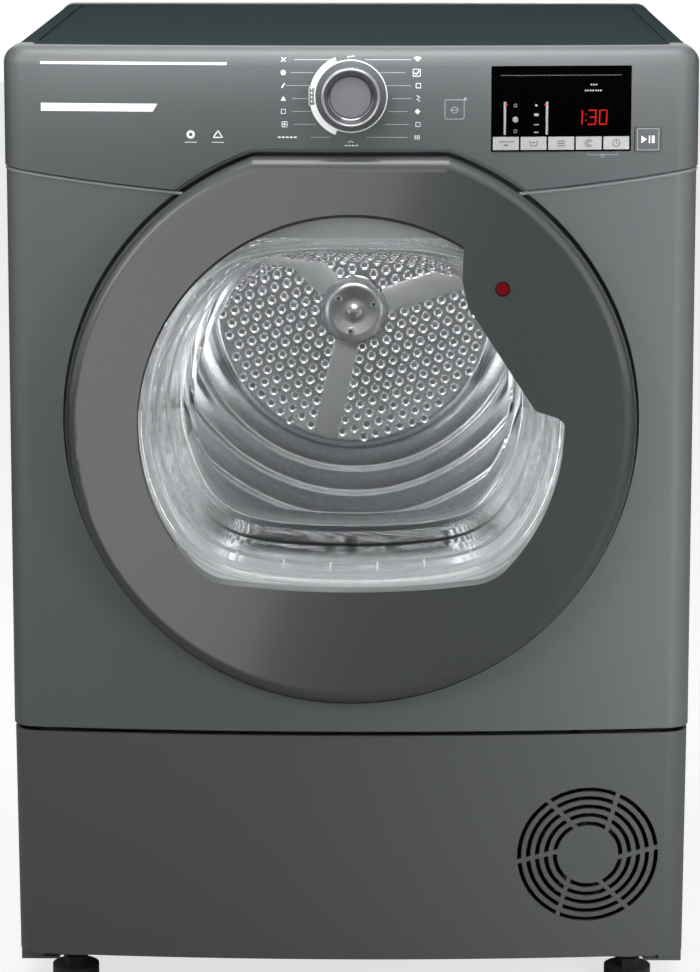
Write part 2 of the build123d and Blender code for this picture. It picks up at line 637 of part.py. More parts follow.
def lint_filter():
    """Framed lint screen that stands in its duct under the mouth."""
    low = DOOR_Z - MOUTH_RADIUS - 2
    x, z = (-FILTER_HALF, FILTER_HALF), (low - 6 - FILTER_HEIGHT, low - 6)
    y = (FILTER_Y[0] + 3, FILTER_Y[1] - 3)
    frame = block(x, y, z)
    pitch = (2 * FILTER_HALF - 5) / 4
    for i in range(4):
        left = x[0] + 5 + pitch * i
        frame -= block((left, left + pitch - 5), (y[0] - 1, y[1] + 1), (z[0] + 5, z[1] - 6))
    middle = (y[0] + y[1]) / 2
    return frame + block((x[0] + 3, x[1] - 3), (middle - 0.5, middle + 0.5), (z[0] + 3, z[1] - 3))


def filter_duct():
    """Duct under the mouth that holds the lint filter."""
    low = DOOR_Z - MOUTH_RADIUS - 2
    x, y = (-FILTER_HALF - 4, FILTER_HALF + 4), (FLOOR_Y + SHEET, BULKHEAD_Y)
    z = (low - 12 - FILTER_HEIGHT, low - 13)
    shell = block(x, y, z)
    inside_z = (z[0] + 5.7, z[1] + 1)
    inside_x = (-FILTER_HALF - CLEAR, FILTER_HALF + CLEAR)
    return shell - block(inside_x, (y[0] + 3, y[1] - 3), inside_z)


def drum_shell():
    """Steel drum barrel with a turned-in front lip."""
    y0, y1 = DRUM_Y, DRUM_BACK_Y - SHEET
    r = DRUM_RADIUS
    profile = [
        (r - DRUM_LIP, y0),
        (r, y0),
        (r, y1),
        (r - SHEET, y1),
        (r - SHEET, y0 + SHEET),
        (r - DRUM_LIP, y0 + SHEET),
    ]
    return spun(profile, 0, DRUM_Z)


def drum_back():
    """Pressed drum back: a raised middle, a groove round it and a ridge further out."""
    front = DRUM_BACK_Y - SHEET
    back = DRUM_BACK_Y
    disc, ridge = 0.52 * DRUM_RADIUS, 0.73 * DRUM_RADIUS
    profile = [(0, HUB_Y), (disc, HUB_Y), (disc + 8, front), (ridge - 8, front)]
    profile += [(ridge - 3, front - 4), (ridge + 3, front - 4), (ridge + 8, front)]
    profile += [(DRUM_RADIUS, front), (DRUM_RADIUS, back), (disc + 6, back)]
    profile += [(disc - 2, HUB_Y + SHEET), (0, HUB_Y + SHEET)]
    return spun(profile, 0, DRUM_Z)


def drum_hub_cap():
    """Chamfered cap over the hub, with a centre boss and three screw heads."""
    y = HUB_Y
    r = HUB_RADIUS
    cap = spun([(0, y - 12), (r - 6, y - 12), (r, y - 6), (r, y), (0, y)], 0, DRUM_Z)
    cap += ring(0, 0.21 * r, y - 15, y - 11, 0, DRUM_Z)
    for turn in (17, 137, 257):
        angle = math.radians(turn)
        x, z = 0.55 * r * math.cos(angle), DRUM_Z + 0.55 * r * math.sin(angle)
        cap += ring(0, 0.12 * r, y - 14, y - 11, x, z)
    return cap


def drum_shaft():
    """Rear shaft with the flange that carries the drum's back."""
    y = HUB_Y + SHEET
    shaft = ring(0, SHAFT_FLANGE, y, y + 5, 0, DRUM_Z)
    return shaft + ring(0, SHAFT_RADIUS, y + 5, BACK_PANEL_Y + 8, 0, DRUM_Z)


def drum_lifters():
    """Three vanes that lift the laundry."""
    inner = DRUM_RADIUS - SHEET
    foot = math.sqrt((inner - CLEAR) ** 2 - (LIFTER_BASE / 2) ** 2)
    y = (DRUM_Y + 36, DRUM_BACK_Y - 30)
    crest = inner - LIFTER_HEIGHT
    half = LIFTER_BASE / 2
    outline = Polygon(
        (foot, -half), (foot, half), (crest, LIFTER_TOP / 2), (crest, -LIFTER_TOP / 2), align=None
    )
    inner_corners = outline.vertices().sort_by(Axis.X)[:2]
    outline = fillet(inner_corners, 10)
    vanes = []
    for turn in (90, 210, 330):
        vanes.append(plate(Pos(0, DRUM_Z) * Rot(0, 0, turn) * outline, *y).solid())
    return Compound(vanes)


def shaft_bearing():
    """Flanged bush on the back panel that carries the drum's shaft."""
    y = BACK_PANEL_Y
    bush = ring(0, BEARING_RADIUS, y - BEARING_LENGTH, y - 4, 0, DRUM_Z)
    bush += ring(0, BEARING_FLANGE, y - 4, y, 0, DRUM_Z)
    return bush - ring(0, SHAFT_RADIUS + RUNNING, y - BEARING_LENGTH - 1, y + 1, 0, DRUM_Z)


def drum_belt():
    """Flat belt round the drum and the motor's pulley."""

    def loop(grow):
        big = Pos(0, DRUM_Z) * Circle(DRUM_RADIUS + grow)
        small = Pos(MOTOR_X, MOTOR_Z) * Circle(PULLEY_RADIUS + grow)
        return make_hull(big.edges() + small.edges())

    y = (BELT_Y - BELT_WIDTH / 2, BELT_Y + BELT_WIDTH / 2)
    return plate(loop(CLEAR + BELT_THICK), *y) - plate(loop(CLEAR), y[0] - 1, y[1] + 1)


def drum_roller(place):
    """One plain roller under the drum's front edge."""
    return ring(ROLLER_PIN_RADIUS + RUNNING, ROLLER_RADIUS, *ROLLER_Y, *place)


def motor_housing():
    """Round motor can with end covers that carry the rotor's shaft."""
    y = MOTOR_Y
    can = ring(MOTOR_RADIUS - 4, MOTOR_RADIUS, *y, MOTOR_X, MOTOR_Z)
    for end in ((y[0], y[0] + 4), (y[1] - 4, y[1])):
        can += ring(MOTOR_SHAFT_RADIUS + RUNNING, MOTOR_RADIUS - 4, *end, MOTOR_X, MOTOR_Z)
    return can


def motor_rotor():
    """Rotor with its through shaft and the belt pulley."""
    ends = (COOLING_FAN_Y[0] - 1, PROCESS_FAN_Y[1] + 6)
    core = (MOTOR_Y[0] + 20, MOTOR_Y[1] - 20)
    shaft = ring(0, MOTOR_SHAFT_RADIUS, *ends, MOTOR_X, MOTOR_Z)
    shaft += ring(0, MOTOR_RADIUS - 12, *core, MOTOR_X, MOTOR_Z)
    y = (BELT_Y - 7, BELT_Y + 7)
    return shaft + ring(0, PULLEY_RADIUS, *y, MOTOR_X, MOTOR_Z)


def fan_wheel(radius, y, blades):
    """Fan wheel: hub, back plate and straight blades round the motor's shaft."""
    wheel = ring(0, radius, y[1] - 3, y[1]) + ring(0, 14, *y)
    for i in range(blades):
        blade = block((20, radius - 1), (y[0], y[1] - 2), (-1.5, 1.5))
        wheel += Rot(0, 360 / blades * i, 0) * Pos(0, 0, 6) * blade
    wheel -= ring(0, MOTOR_SHAFT_RADIUS + RUNNING, y[0] - 1, y[1] + 1)
    return Pos(MOTOR_X, 0, MOTOR_Z) * wheel


def fan_housing():
    """Casing of the process fan, with the spigot that feeds the rear duct."""
    y = FAN_CASE_Y
    wall = FAN_WALL
    reach = FAN_CASE_RADIUS - wall
    back = BACK_PANEL_Y + SHEET
    case = ring(0, FAN_CASE_RADIUS, *y, MOTOR_X, MOTOR_Z)
    case += ring(0, SPIGOT_RADIUS, y[1], back, MOTOR_X, MOTOR_Z)
    foot = (BASE_Z + 4, MOTOR_Z - reach + 2)
    case += block((MOTOR_X - 40, MOTOR_X + 40), (y[0] + 10, y[1] - 10), foot)
    case -= ring(0, reach, y[0] + wall, y[1] - wall, MOTOR_X, MOTOR_Z)
    case -= ring(0, SPIGOT_RADIUS - 12, y[0] - 1, y[0] + wall + 1, MOTOR_X, MOTOR_Z)
    return case - ring(0, SPIGOT_RADIUS - wall, y[1] - wall - 1, back + 1, MOTOR_X, MOTOR_Z)


def idler_line():
    """Unit normal of the belt's slack run and the idler's centre outside its middle."""
    dx, dz = MOTOR_X, MOTOR_Z - DRUM_Z
    span = math.hypot(dx, dz)
    lean = math.acos((DRUM_RADIUS - PULLEY_RADIUS) / span)
    angle = math.atan2(dz, dx) - lean
    normal = (math.cos(angle), math.sin(angle))
    away = DRUM_RADIUS + 2 * CLEAR + BELT_THICK + IDLER_RADIUS
    along = 0.56 * math.sqrt(span ** 2 - (DRUM_RADIUS - PULLEY_RADIUS) ** 2)
    x = normal[0] * away - normal[1] * along
    z = DRUM_Z + normal[1] * away + normal[0] * along
    return normal, (x, z)


def idler_pivot():
    """Pivot of the idler arm, outside the belt's slack run and nearer the motor."""
    normal, (x, z) = idler_line()
    out, along = IDLER_SET_OUT, IDLER_REACH
    pivot_x = x + out * normal[0] - along * normal[1]
    return pivot_x, z + out * normal[1] + along * normal[0]


def idler_arm():
    """Arm that swings the idler pulley against the belt."""
    normal, centre = idler_line()
    pivot = idler_pivot()
    ends = (Pos(*centre) * Circle(9)).edges() + (Pos(*pivot) * Circle(11)).edges()
    y = (BELT_Y - 18.5, BELT_Y - 10)
    arm = plate(make_hull(ends), *y)
    arm += ring(0, 4, y[1], BELT_Y + 9, *centre)
    return arm - ring(0, 5 + RUNNING, y[0] - 1, y[1] + 1, *pivot)


def idler_pulley():
    """Plain pulley on the idler arm's pin."""
    normal, centre = idler_line()
    return ring(4 + RUNNING, IDLER_RADIUS, BELT_Y - 7, BELT_Y + 7, *centre)


def condenser_cartridge():
    """Finned condenser block with a front plate and two lever studs."""
    x = (CONDENSER_X[0], CONDENSER_X[1])
    core = block(x, CONDENSER_Y, CONDENSER_Z)
    slots = 9
    pitch = (CONDENSER_Z[1] - CONDENSER_Z[0]) / (slots + 1)
    for i in range(slots):
        z = CONDENSER_Z[0] + pitch * (i + 1)
        core -= block((x[0] - 1, x[1] + 1), (CONDENSER_Y[0] + 25, CONDENSER_Y[1] - 15), (z - 4, z + 4))
    for lever_x, lever_z in lever_places():
        core += ring(0, 4, CONDENSER_Y[0] - 12, CONDENSER_Y[0], lever_x, lever_z)
    return core


def lever_places():
    """Centres of the two condenser lock levers."""
    z = CONDENSER_Z[1] - 22
    return [(CONDENSER_X[0] + 34, z), (CONDENSER_X[1] - 34, z)]


def lock_lever(place, side):
    """One turning lever that holds the condenser in its tunnel."""
    y = (CONDENSER_Y[0] - 10, CONDENSER_Y[0] - CLEAR)
    bar = Pos(side * 13, 0) * SlotOverall(46, 16)
    lever = plate(Pos(*place) * bar, *y)
    return lever - ring(0, 4 + RUNNING, y[0] - 1, y[1] + 1, *place)


def heater():
    """Open frame with coil rods in the rear duct."""
    share = 0.6
    middle = (share * MOTOR_X, DRUM_Z + share * (MOTOR_Z - DRUM_Z))
    width, deep, tall = HEATER_SIZE
    x = (middle[0] - width / 2, middle[0] + width / 2)
    y = (BACK_PANEL_Y + SHEET, BACK_PANEL_Y + SHEET + deep)
    z = (middle[1] - tall / 2, middle[1] + tall / 2)
    frame = block(x, y, z) - block((x[0] + 4, x[1] - 4), (y[0] - 1, y[1] + 1), (z[0] + 4, z[1] - 4))
    for i in range(5):
        rod_z = z[0] + 11 + (tall - 22) / 4 * i
        rod = Pos(middle[0], y[0] + deep / 2, rod_z) * Rot(0, 90, 0)
        frame += rod * Cylinder(3, x[1] - x[0] - 6)
    return frame


def drain_pump():
    """Pump that lifts the condensed water, with its outlet spout."""
    floor, half = PUMP_FLOOR_Z, PUMP_WIDTH / 2
    middle_y = sum(PUMP_Y) / 2
    pump = block((-half, half), PUMP_Y, (floor, floor + PUMP_HEIGHT))
    pump += Pos(0, middle_y, floor + PUMP_HEIGHT + 12) * Cylinder(PUMP_DEPTH / 2 - 2, 24)
    spout = Rot(0, 90, 0) * Cylinder(HOSE_RADIUS - 2.5, 20)
    return pump + Pos(-half - 4, middle_y, floor + 30) * spout


def drain_hose():
    """Hose from the pump up the left side and forward to the inner front."""
    z = PUMP_FLOOR_Z + 30
    left, start = -SIDE_IN_X + 14, -PUMP_WIDTH / 2
    y = sum(PUMP_Y) / 2
    high = TOP_UNDER_Z - 40
    points = [
        (start - 0.5, y, z),
        (start - 20, y, z),
        (start - 24, y + 16, z + 16),
        (left, y + 16, z + 16),
        (left, y + 16, high),
        (left, BULKHEAD_BACK_Y + CLEAR, high),
    ]
    route = FilletPolyline(*points, radius=8)
    section = Plane(origin=route @ 0, z_dir=route % 0)
    outer = sweep(section * Circle(HOSE_RADIUS), path=route)
    return outer - sweep(section * Circle(HOSE_RADIUS - 2.5 + CLEAR), path=route)


def mains_inlet():
    """Cable gland block on the back panel, low on the left."""
    y = BACK_PANEL_Y + SHEET
    width, deep, tall = GLAND_SIZE
    x, z = -SIDE_IN_X + 65, BASE_Z + 61
    gland = block((x - width / 2, x + width / 2), (y, y + deep), (z - tall / 2, z + tall / 2))
    return gland + ring(5, 11, y + deep, y + deep + 14, x, z)


def foot_places():
    """Plan positions of the four feet."""
    x = SIDE_IN_X - 44
    return [(sx * x, y) for sx in (-1, 1) for y in (FRAME_Y + 30, BACK_PANEL_Y - 34)]


def levelling_feet():
    """Four screw feet: a pad, a hexagon and a stud in the base."""
    feet = []
    pad_top, nut_top = FOOT_HEIGHT - 14, FOOT_HEIGHT - 6
    for x, y in foot_places():
        pad = Pos(x, y, pad_top / 2) * Cylinder(21, pad_top)
        nut = Pos(x, y, pad_top) * extrude(RegularPolygon(11, 6), nut_top - pad_top)
        stud = Pos(x, y, (nut_top + BASE_Z) / 2) * Cylinder(6, BASE_Z - nut_top)
        feet.append((pad + nut + stud).solid())
    return Compound(feet)


def hinge_bracket():
    """Fixed hinge: a base on the dish floor and two bent arms that hold the pin."""
    base_x = (HINGE_X - 10, HINGE_X + 6.5)
    z = (DOOR_Z - HINGE_HALF, DOOR_Z + HINGE_HALF)
    bracket = block(base_x, (FLOOR_Y - 3, FLOOR_Y), z)
    elbow = (HINGE_X + 9, HINGE_Y + 17)
    arm = Polygon(
        (HINGE_X - 4.5, HINGE_Y - 1),
        (HINGE_X + 4.5, HINGE_Y - 1),
        (elbow[0] + 3.5, elbow[1] - 2),
        (elbow[0] + 2, elbow[1] + 3),
        (HINGE_X + 4, FLOOR_Y - 2),
        (HINGE_X - 4, FLOOR_Y - 2),
        (elbow[0] - 5, elbow[1] + 1),
        align=None,
    )
    arm += Pos(HINGE_X, HINGE_Y) * Circle(5)
    for low in (z[0], z[1] - HINGE_ARM):
        bracket += extrude(Plane.XY.offset(low) * arm, HINGE_ARM)
    bore = Pos(HINGE_X, HINGE_Y, DOOR_Z) * Cylinder(HINGE_PIN_RADIUS + RUNNING / 2, 3 * HINGE_HALF)
    return bracket - bore


def hinge_pin():
    """Pin through the hinge arms and the door's knuckle, with small heads."""
    pin = Cylinder(HINGE_PIN_RADIUS, 2 * HINGE_HALF)
    for side in (-1, 1):
        pin += Pos(0, 0, side * (HINGE_HALF + 0.75)) * Cylinder(4.2, 1.5)
    return Pos(HINGE_X, HINGE_Y, DOOR_Z) * pin


def hinge_leaf():
    """Door's half of the hinge: a knuckle, a web and a block on the ring's inside."""
    half = HINGE_HALF - HINGE_ARM - CLEAR
    z = (DOOR_Z - half, DOOR_Z + half)
    leaf = Pos(HINGE_X, HINGE_Y, DOOR_Z) * Cylinder(5, 2 * half)
    leaf += block((HINGE_X, HINGE_X + 10), (HINGE_Y - 2, HINGE_Y + 2), z)
    leaf += block((HINGE_X + 9, HINGE_X + 32), (ring_cavity_y(), HINGE_Y + 2), z)
    bore = Pos(HINGE_X, HINGE_Y, DOOR_Z) * Cylinder(HINGE_PIN_RADIUS + RUNNING, 3 * HINGE_HALF)
    return leaf - bore


def ring_cavity_y():
    """Depth of the inner face of the door ring's front wall."""
    return FRONT_Y + RING_WALL


def hinge_slots():
    """Room in the door's left edge for the hinge arms as the door swings."""
    slots = Part()
    x = (-DOOR_RADIUS - 1, HINGE_X + 16)
    y = (HINGE_Y - 3.5, FRAME_BACK_Y + 1)
    inner = HINGE_HALF - HINGE_ARM - 1
    outer = HINGE_HALF + 3.5
    for z in ((DOOR_Z - outer, DOOR_Z - inner), (DOOR_Z + inner, DOOR_Z + outer)):
        slots += block(x, y, z)
    return slots


def door_front_ring():
    """Flat door ring with a round nose, a hollow back and the grip in its opening."""
    body = plate(door_outline(0), FRONT_Y, RING_BACK_Y)
    front = body.faces().sort_by(Axis.Y)[0]
    body = fillet(front.edges(), DOOR_NOSE)
    body -= plate(door_opening(), FRONT_Y - 1, RING_BACK_Y + 1)
    wall = Pos(0, DOOR_Z) * Circle(OPENING_RADIUS + MOULD)
    cavity = door_outline(-DOOR_NOSE / 2) - wall
    body -= plate(cavity, ring_cavity_y(), RING_BACK_Y + 1)
    low = Pos(0, DOOR_Z) * Circle(OPENING_RADIUS + MOULD + 1)
    body -= plate(low, BOWL_Y, RING_BACK_Y + 1)
    body -= ring(0, LENS_RADIUS + RUNNING, FRONT_Y - 1, FRONT_Y + 6, LENS_X, LENS_Z)
    return body - hinge_slots()


def door_inner_frame():
    """Back cover of the door with the plug that enters the mouth."""
    hole = Pos(0, DOOR_Z) * Circle(BOWL_RADIUS + BOWL_FLANGE)
    frame = plate(door_outline(-DOOR_NOSE / 2 + 1) - hole, RING_BACK_Y, FRAME_BACK_Y)
    y = (FRAME_BACK_Y, FRAME_BACK_Y + PLUG_DEPTH)
    frame += ring(PLUG_RADIUS - MOULD, PLUG_RADIUS, *y, 0, DOOR_Z)
    seat = Pos(0, DOOR_Z) * Circle(BOWL_RADIUS + BOWL_FLANGE + 3)
    inner = bowl_outline(BOWL_RADIUS, BOWL_TOP, BOWL_BASE, -CLEAR)
    frame += plate(seat - inner, RING_BACK_Y - 4, FRAME_BACK_Y)
    return frame - hinge_slots()


def door_bowl():
    """Clear bowl that reaches through the mouth, with its flange behind the ring."""

    end_sizes = (
        BOWL_RADIUS - BOWL_TAPER,
        BOWL_TOP - BOWL_TOP_TAPER,
        BOWL_BASE + BOWL_BASE_TAPER,
    )

    def cone(shrink, y0, y1):
        near = bowl_outline(BOWL_RADIUS, BOWL_TOP, BOWL_BASE, shrink)
        far = bowl_outline(*end_sizes, shrink)
        planes = [Plane(origin=(0, y, 0), x_dir=(1, 0, 0), z_dir=(0, -1, 0)) for y in (y0, y1)]
        return loft([planes[0] * near, planes[1] * far])

    end = BOWL_Y + BOWL_DEPTH
    lean = BOWL_TAPER / BOWL_DEPTH * BOWL_WALL
    bowl = cone(0, BOWL_Y, end) - cone(BOWL_WALL + lean / 2, BOWL_Y, end - BOWL_WALL)
    inner = bowl_outline(BOWL_RADIUS, BOWL_TOP, BOWL_BASE, BOWL_WALL)
    outer = Pos(0, DOOR_Z) * Circle(BOWL_RADIUS + BOWL_FLANGE)
    flange = plate(outer - inner, BOWL_Y, BOWL_Y + BOWL_WALL)
    return bowl + flange


def latch_hook():
    """Hook on the door's back cover."""
    x = (LATCH_X - 2.5, LATCH_X + 2.5)
    hook = block(x, (FRAME_BACK_Y, FLOOR_Y + 20), (DOOR_Z - LATCH_HALF, DOOR_Z + LATCH_HALF))
    bite = (DOOR_Z - LATCH_HALF - 1, DOOR_Z + 1)
    hook -= block((x[0] - 1, x[1] + 1), (FLOOR_Y + 8, FLOOR_Y + 15), bite)
    return hook


def latch_body():
    """Latch case behind the dish floor that the hook enters."""
    y = (FLOOR_Y + SHEET, BULKHEAD_Y)
    case = block((LATCH_X - 13, LATCH_X + 12), y, (DOOR_Z - 18, DOOR_Z + 18))
    room = key_box(LATCH_X, DOOR_Z, (14, 26), 0)
    return case - block(room[0], (y[0] - 1, y[1] - 2), room[1])


def level_lens():
    """Small red window in the grip."""
    y = FRONT_Y
    return spun(
        [(0, y), (LENS_RADIUS - 1.5, y), (LENS_RADIUS, y + 1), (LENS_RADIUS, y + 6), (0, y + 6)],
        LENS_X,
        LENS_Z,
    )


def door_seal():
    """Rubber ring on the dish floor round the mouth."""
    return ring(MOUTH_RADIUS, MOUTH_RADIUS + SEAL_WIDTH, FRAME_BACK_Y + CLEAR, FLOOR_Y, 0, DOOR_Z)


def door_screws():
    """Screw heads that hold the door's back cover."""
    heads = []
    reach = DOOR_RADIUS - DOOR_NOSE
    for turn in range(30, 360, 60):
        angle = math.radians(turn)
        x, z = reach * math.cos(angle), DOOR_Z + reach * math.sin(angle)
        if z < DOOR_Z + DOOR_FLAT - 20:
            heads.append(ring(0, SCREW_RADIUS, FRAME_BACK_Y, FRAME_BACK_Y + 2, x, z).solid())
    return Compound(heads)


def make_nodes():
    """Every piece of the machine under its node name."""
    rollers = roller_places()
    levers = lever_places()
    nodes = {
        "base_pan": base_pan(),
        "left_side_panel": side_panel(-1),
        "right_side_panel": side_panel(1),
        "back_panel": back_panel(),
        "rear_duct_cover": rear_duct_cover(),
        "top_panel": top_panel(),
        "top_rear_trim": top_rear_trim(),
        "control_fascia": control_fascia(),
        "display_window": display_window(),
        "control_board": control_board(),
        "selector_knob": selector_knob(),
        "knob_ring": knob_ring(),
        "start_key": push_key(START_KEY_X, START_KEY_Z, START_KEY_SIZE),
        "front_panel": front_panel(),
        "kickplate": kickplate(),
        "front_bulkhead": front_bulkhead(),
        "felt_seals": felt_seals(),
        "lint_filter": lint_filter(),
        "filter_duct": filter_duct(),
        "drum_shell": drum_shell(),
        "drum_back": drum_back(),
        "drum_hub_cap": drum_hub_cap(),
        "drum_shaft": drum_shaft(),
        "drum_lifters": drum_lifters(),
        "shaft_bearing": shaft_bearing(),
        "drum_belt": drum_belt(),
        "left_drum_roller": drum_roller(rollers[0]),
        "right_drum_roller": drum_roller(rollers[1]),
        "motor_housing": motor_housing(),
        "motor_rotor": motor_rotor(),
        "cooling_fan": fan_wheel(COOLING_FAN_RADIUS, COOLING_FAN_Y, 9),
        "process_fan": fan_wheel(PROCESS_FAN_RADIUS, PROCESS_FAN_Y, 14),
        "fan_housing": fan_housing(),
        "idler_arm": idler_arm(),
        "idler_pulley": idler_pulley(),
        "condenser_cartridge": condenser_cartridge(),
        "left_lock_lever": lock_lever(levers[0], -1),
        "right_lock_lever": lock_lever(levers[1], 1),
        "heater": heater(),
        "drain_pump": drain_pump(),
        "drain_hose": drain_hose(),
        "mains_inlet": mains_inlet(),
        "levelling_feet": levelling_feet(),
        "hinge_bracket": hinge_bracket(),
        "hinge_pin": hinge_pin(),
        "hinge_leaf": hinge_leaf(),
        "door_front_ring": door_front_ring(),
        "door_inner_frame": door_inner_frame(),
        "door_bowl": door_bowl(),
        "level_lens": level_lens(),
        "latch_hook": latch_hook(),
        "latch_body": latch_body(),
        "door_seal": door_seal(),
        "door_screws": door_screws(),
    }
    for i, x in enumerate(key_centres()):
        nodes[f"option_key_{i + 1}"] = push_key(x, KEY_Z, KEY_SIZE)
    return nodes


os.makedirs("parts", exist_ok=True)
for name, shape in make_nodes().items():
    export_step(shape, f"parts/{name}.step")
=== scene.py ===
import math

import bmesh
import bpy
import numpy as np
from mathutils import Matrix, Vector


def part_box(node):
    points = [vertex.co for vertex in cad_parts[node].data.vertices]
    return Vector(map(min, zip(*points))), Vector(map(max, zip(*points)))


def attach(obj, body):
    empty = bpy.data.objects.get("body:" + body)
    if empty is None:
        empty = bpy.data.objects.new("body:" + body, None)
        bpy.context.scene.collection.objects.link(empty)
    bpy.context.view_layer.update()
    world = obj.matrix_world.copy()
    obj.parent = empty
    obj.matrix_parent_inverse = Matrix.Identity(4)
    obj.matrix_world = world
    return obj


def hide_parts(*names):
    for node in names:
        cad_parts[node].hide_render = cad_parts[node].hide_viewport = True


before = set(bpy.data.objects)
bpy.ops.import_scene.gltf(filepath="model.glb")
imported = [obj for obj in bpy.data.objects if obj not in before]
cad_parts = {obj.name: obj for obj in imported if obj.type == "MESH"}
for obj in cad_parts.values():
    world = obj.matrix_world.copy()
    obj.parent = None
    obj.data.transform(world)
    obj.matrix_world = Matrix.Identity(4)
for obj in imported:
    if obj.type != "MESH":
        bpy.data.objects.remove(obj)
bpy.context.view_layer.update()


# Moulded base, feet and steel shell of the cabinet.
# The base pan is filled grey plastic, the feet are black screw feet, and the sides are painted sheet steel
# that folds in at every edge. The back and the inner front wall are bare galvanised sheet.
def surface_grain():
    """Node group of three noises on one place: a fine tone, a middle height and a broad film."""
    tree = bpy.data.node_groups.new("surface_grain", "ShaderNodeTree")
    sockets = tree.interface
    sockets.new_socket("Place", in_out="INPUT", socket_type="NodeSocketVector")
    sockets.new_socket("Stretch", in_out="INPUT", socket_type="NodeSocketVector")
    for label in ("Fine", "Middle", "Broad"):
        sockets.new_socket(label, in_out="INPUT", socket_type="NodeSocketFloat")
    for label in ("Tone", "Height", "Film"):
        sockets.new_socket(label, in_out="OUTPUT", socket_type="NodeSocketFloat")
    into = tree.nodes.new("NodeGroupInput")
    out = tree.nodes.new("NodeGroupOutput")
    scaled = tree.nodes.new("ShaderNodeVectorMath")
    scaled.operation = "MULTIPLY"
    tree.links.new(into.outputs["Place"], scaled.inputs[0])
    tree.links.new(into.outputs["Stretch"], scaled.inputs[1])
    for size, label, detail in (("Fine", "Tone", 2.0), ("Middle", "Height", 3.0), ("Broad", "Film", 5.0)):
        noise = tree.nodes.new("ShaderNodeTexNoise")
        noise.inputs["Detail"].default_value = detail
        tree.links.new(scaled.outputs[0], noise.inputs["Vector"])
        tree.links.new(into.outputs[size], noise.inputs["Scale"])
        tree.links.new(noise.outputs["Fac"], out.inputs[label])
    return tree


def settled_dust():
    """Node group: a mask of thin dust that lies on faces that look up, broken by a broad noise."""
    tree = bpy.data.node_groups.new("settled_dust", "ShaderNodeTree")
    tree.interface.new_socket("Film", in_out="INPUT", socket_type="NodeSocketFloat")
    tree.interface.new_socket("Amount", in_out="INPUT", socket_type="NodeSocketFloat")
    tree.interface.new_socket("Dust", in_out="OUTPUT", socket_type="NodeSocketFloat")
    into = tree.nodes.new("NodeGroupInput")
    out = tree.nodes.new("NodeGroupOutput")
    face = tree.nodes.new("ShaderNodeNewGeometry")
    parts = tree.nodes.new("ShaderNodeSeparateXYZ")
    tree.links.new(face.outputs["Normal"], parts.inputs[0])
    up = tree.nodes.new("ShaderNodeMapRange")
    up.inputs["From Min"].default_value = DUST_TILT
    tree.links.new(parts.outputs["Z"], up.inputs["Value"])
    patch = tree.nodes.new("ShaderNodeMath")
    patch.operation = "MULTIPLY"
    tree.links.new(up.outputs["Result"], patch.inputs[0])
    tree.links.new(into.outputs["Film"], patch.inputs[1])
    share = tree.nodes.new("ShaderNodeMath")
    share.operation = "MULTIPLY"
    tree.links.new(patch.outputs[0], share.inputs[0])
    tree.links.new(into.outputs["Amount"], share.inputs[1])
    tree.links.new(share.outputs[0], out.inputs["Dust"])
    return tree


NOISE_SPAN = (0.3, 0.7)
BUMP_DISTANCE = 0.001
DUST_TILT = 0.35
DUST_COLOUR = (0.42, 0.41, 0.39, 1.0)
grain_group = surface_grain()
dust_group = settled_dust()


def start_finish(name, grain, stretch=(1, 1, 1)):
    """A new material, the piece's own coordinates, and the outputs of a grain that they place."""
    made = bpy.data.materials.new(name)
    made.use_nodes = True
    place = made.node_tree.nodes.new("ShaderNodeTexCoord").outputs["Object"]
    speckle = made.node_tree.nodes.new("ShaderNodeGroup")
    speckle.node_tree = grain_group
    speckle.inputs["Stretch"].default_value = stretch
    for label, value in zip(("Fine", "Middle", "Broad"), grain):
        speckle.inputs[label].default_value = value
    made.node_tree.links.new(place, speckle.inputs["Place"])
    return made, place, speckle.outputs


def tinted(made, value, span, dark, light):
    """Colour that runs from dark to light while a value crosses a span."""
    tint = made.node_tree.nodes.new("ShaderNodeValToRGB")
    for stop, position, colour in zip(tint.color_ramp.elements, span, (dark, light)):
        stop.position = position
        stop.color = (*colour, 1.0)
    made.node_tree.links.new(value, tint.inputs["Fac"])
    return tint.outputs["Color"]


def overlaid(made, colour, mask, over):
    """One even colour laid over another by a mask."""
    cover = made.node_tree.nodes.new("ShaderNodeMix")
    cover.data_type = "RGBA"
    made.node_tree.links.new(mask, cover.inputs["Factor"])
    made.node_tree.links.new(colour, cover.inputs["A"])
    cover.inputs["B"].default_value = over
    return cover.outputs["Result"]


def end_finish(made, colour, speckle, span, rough, bump):
    """The shader with its colour, a roughness that runs between two values while the grain's film crosses a
    span, and a surface that the grain's height lifts."""
    links, add = made.node_tree.links, made.node_tree.nodes.new
    shader = made.node_tree.nodes["Principled BSDF"]
    links.new(colour, shader.inputs["Base Color"])
    spread = add("ShaderNodeMapRange")
    for label, value in zip(("From Min", "From Max", "To Min", "To Max"), (*span, *rough)):
        spread.inputs[label].default_value = value
    links.new(speckle["Film"], spread.inputs["Value"])
    links.new(spread.outputs["Result"], shader.inputs["Roughness"])
    lift = add("ShaderNodeBump")
    lift.inputs["Strength"].default_value = bump
    lift.inputs["Distance"].default_value = BUMP_DISTANCE
    links.new(speckle["Height"], lift.inputs["Height"])
    links.new(lift.outputs["Normal"], shader.inputs["Normal"])
    return shader


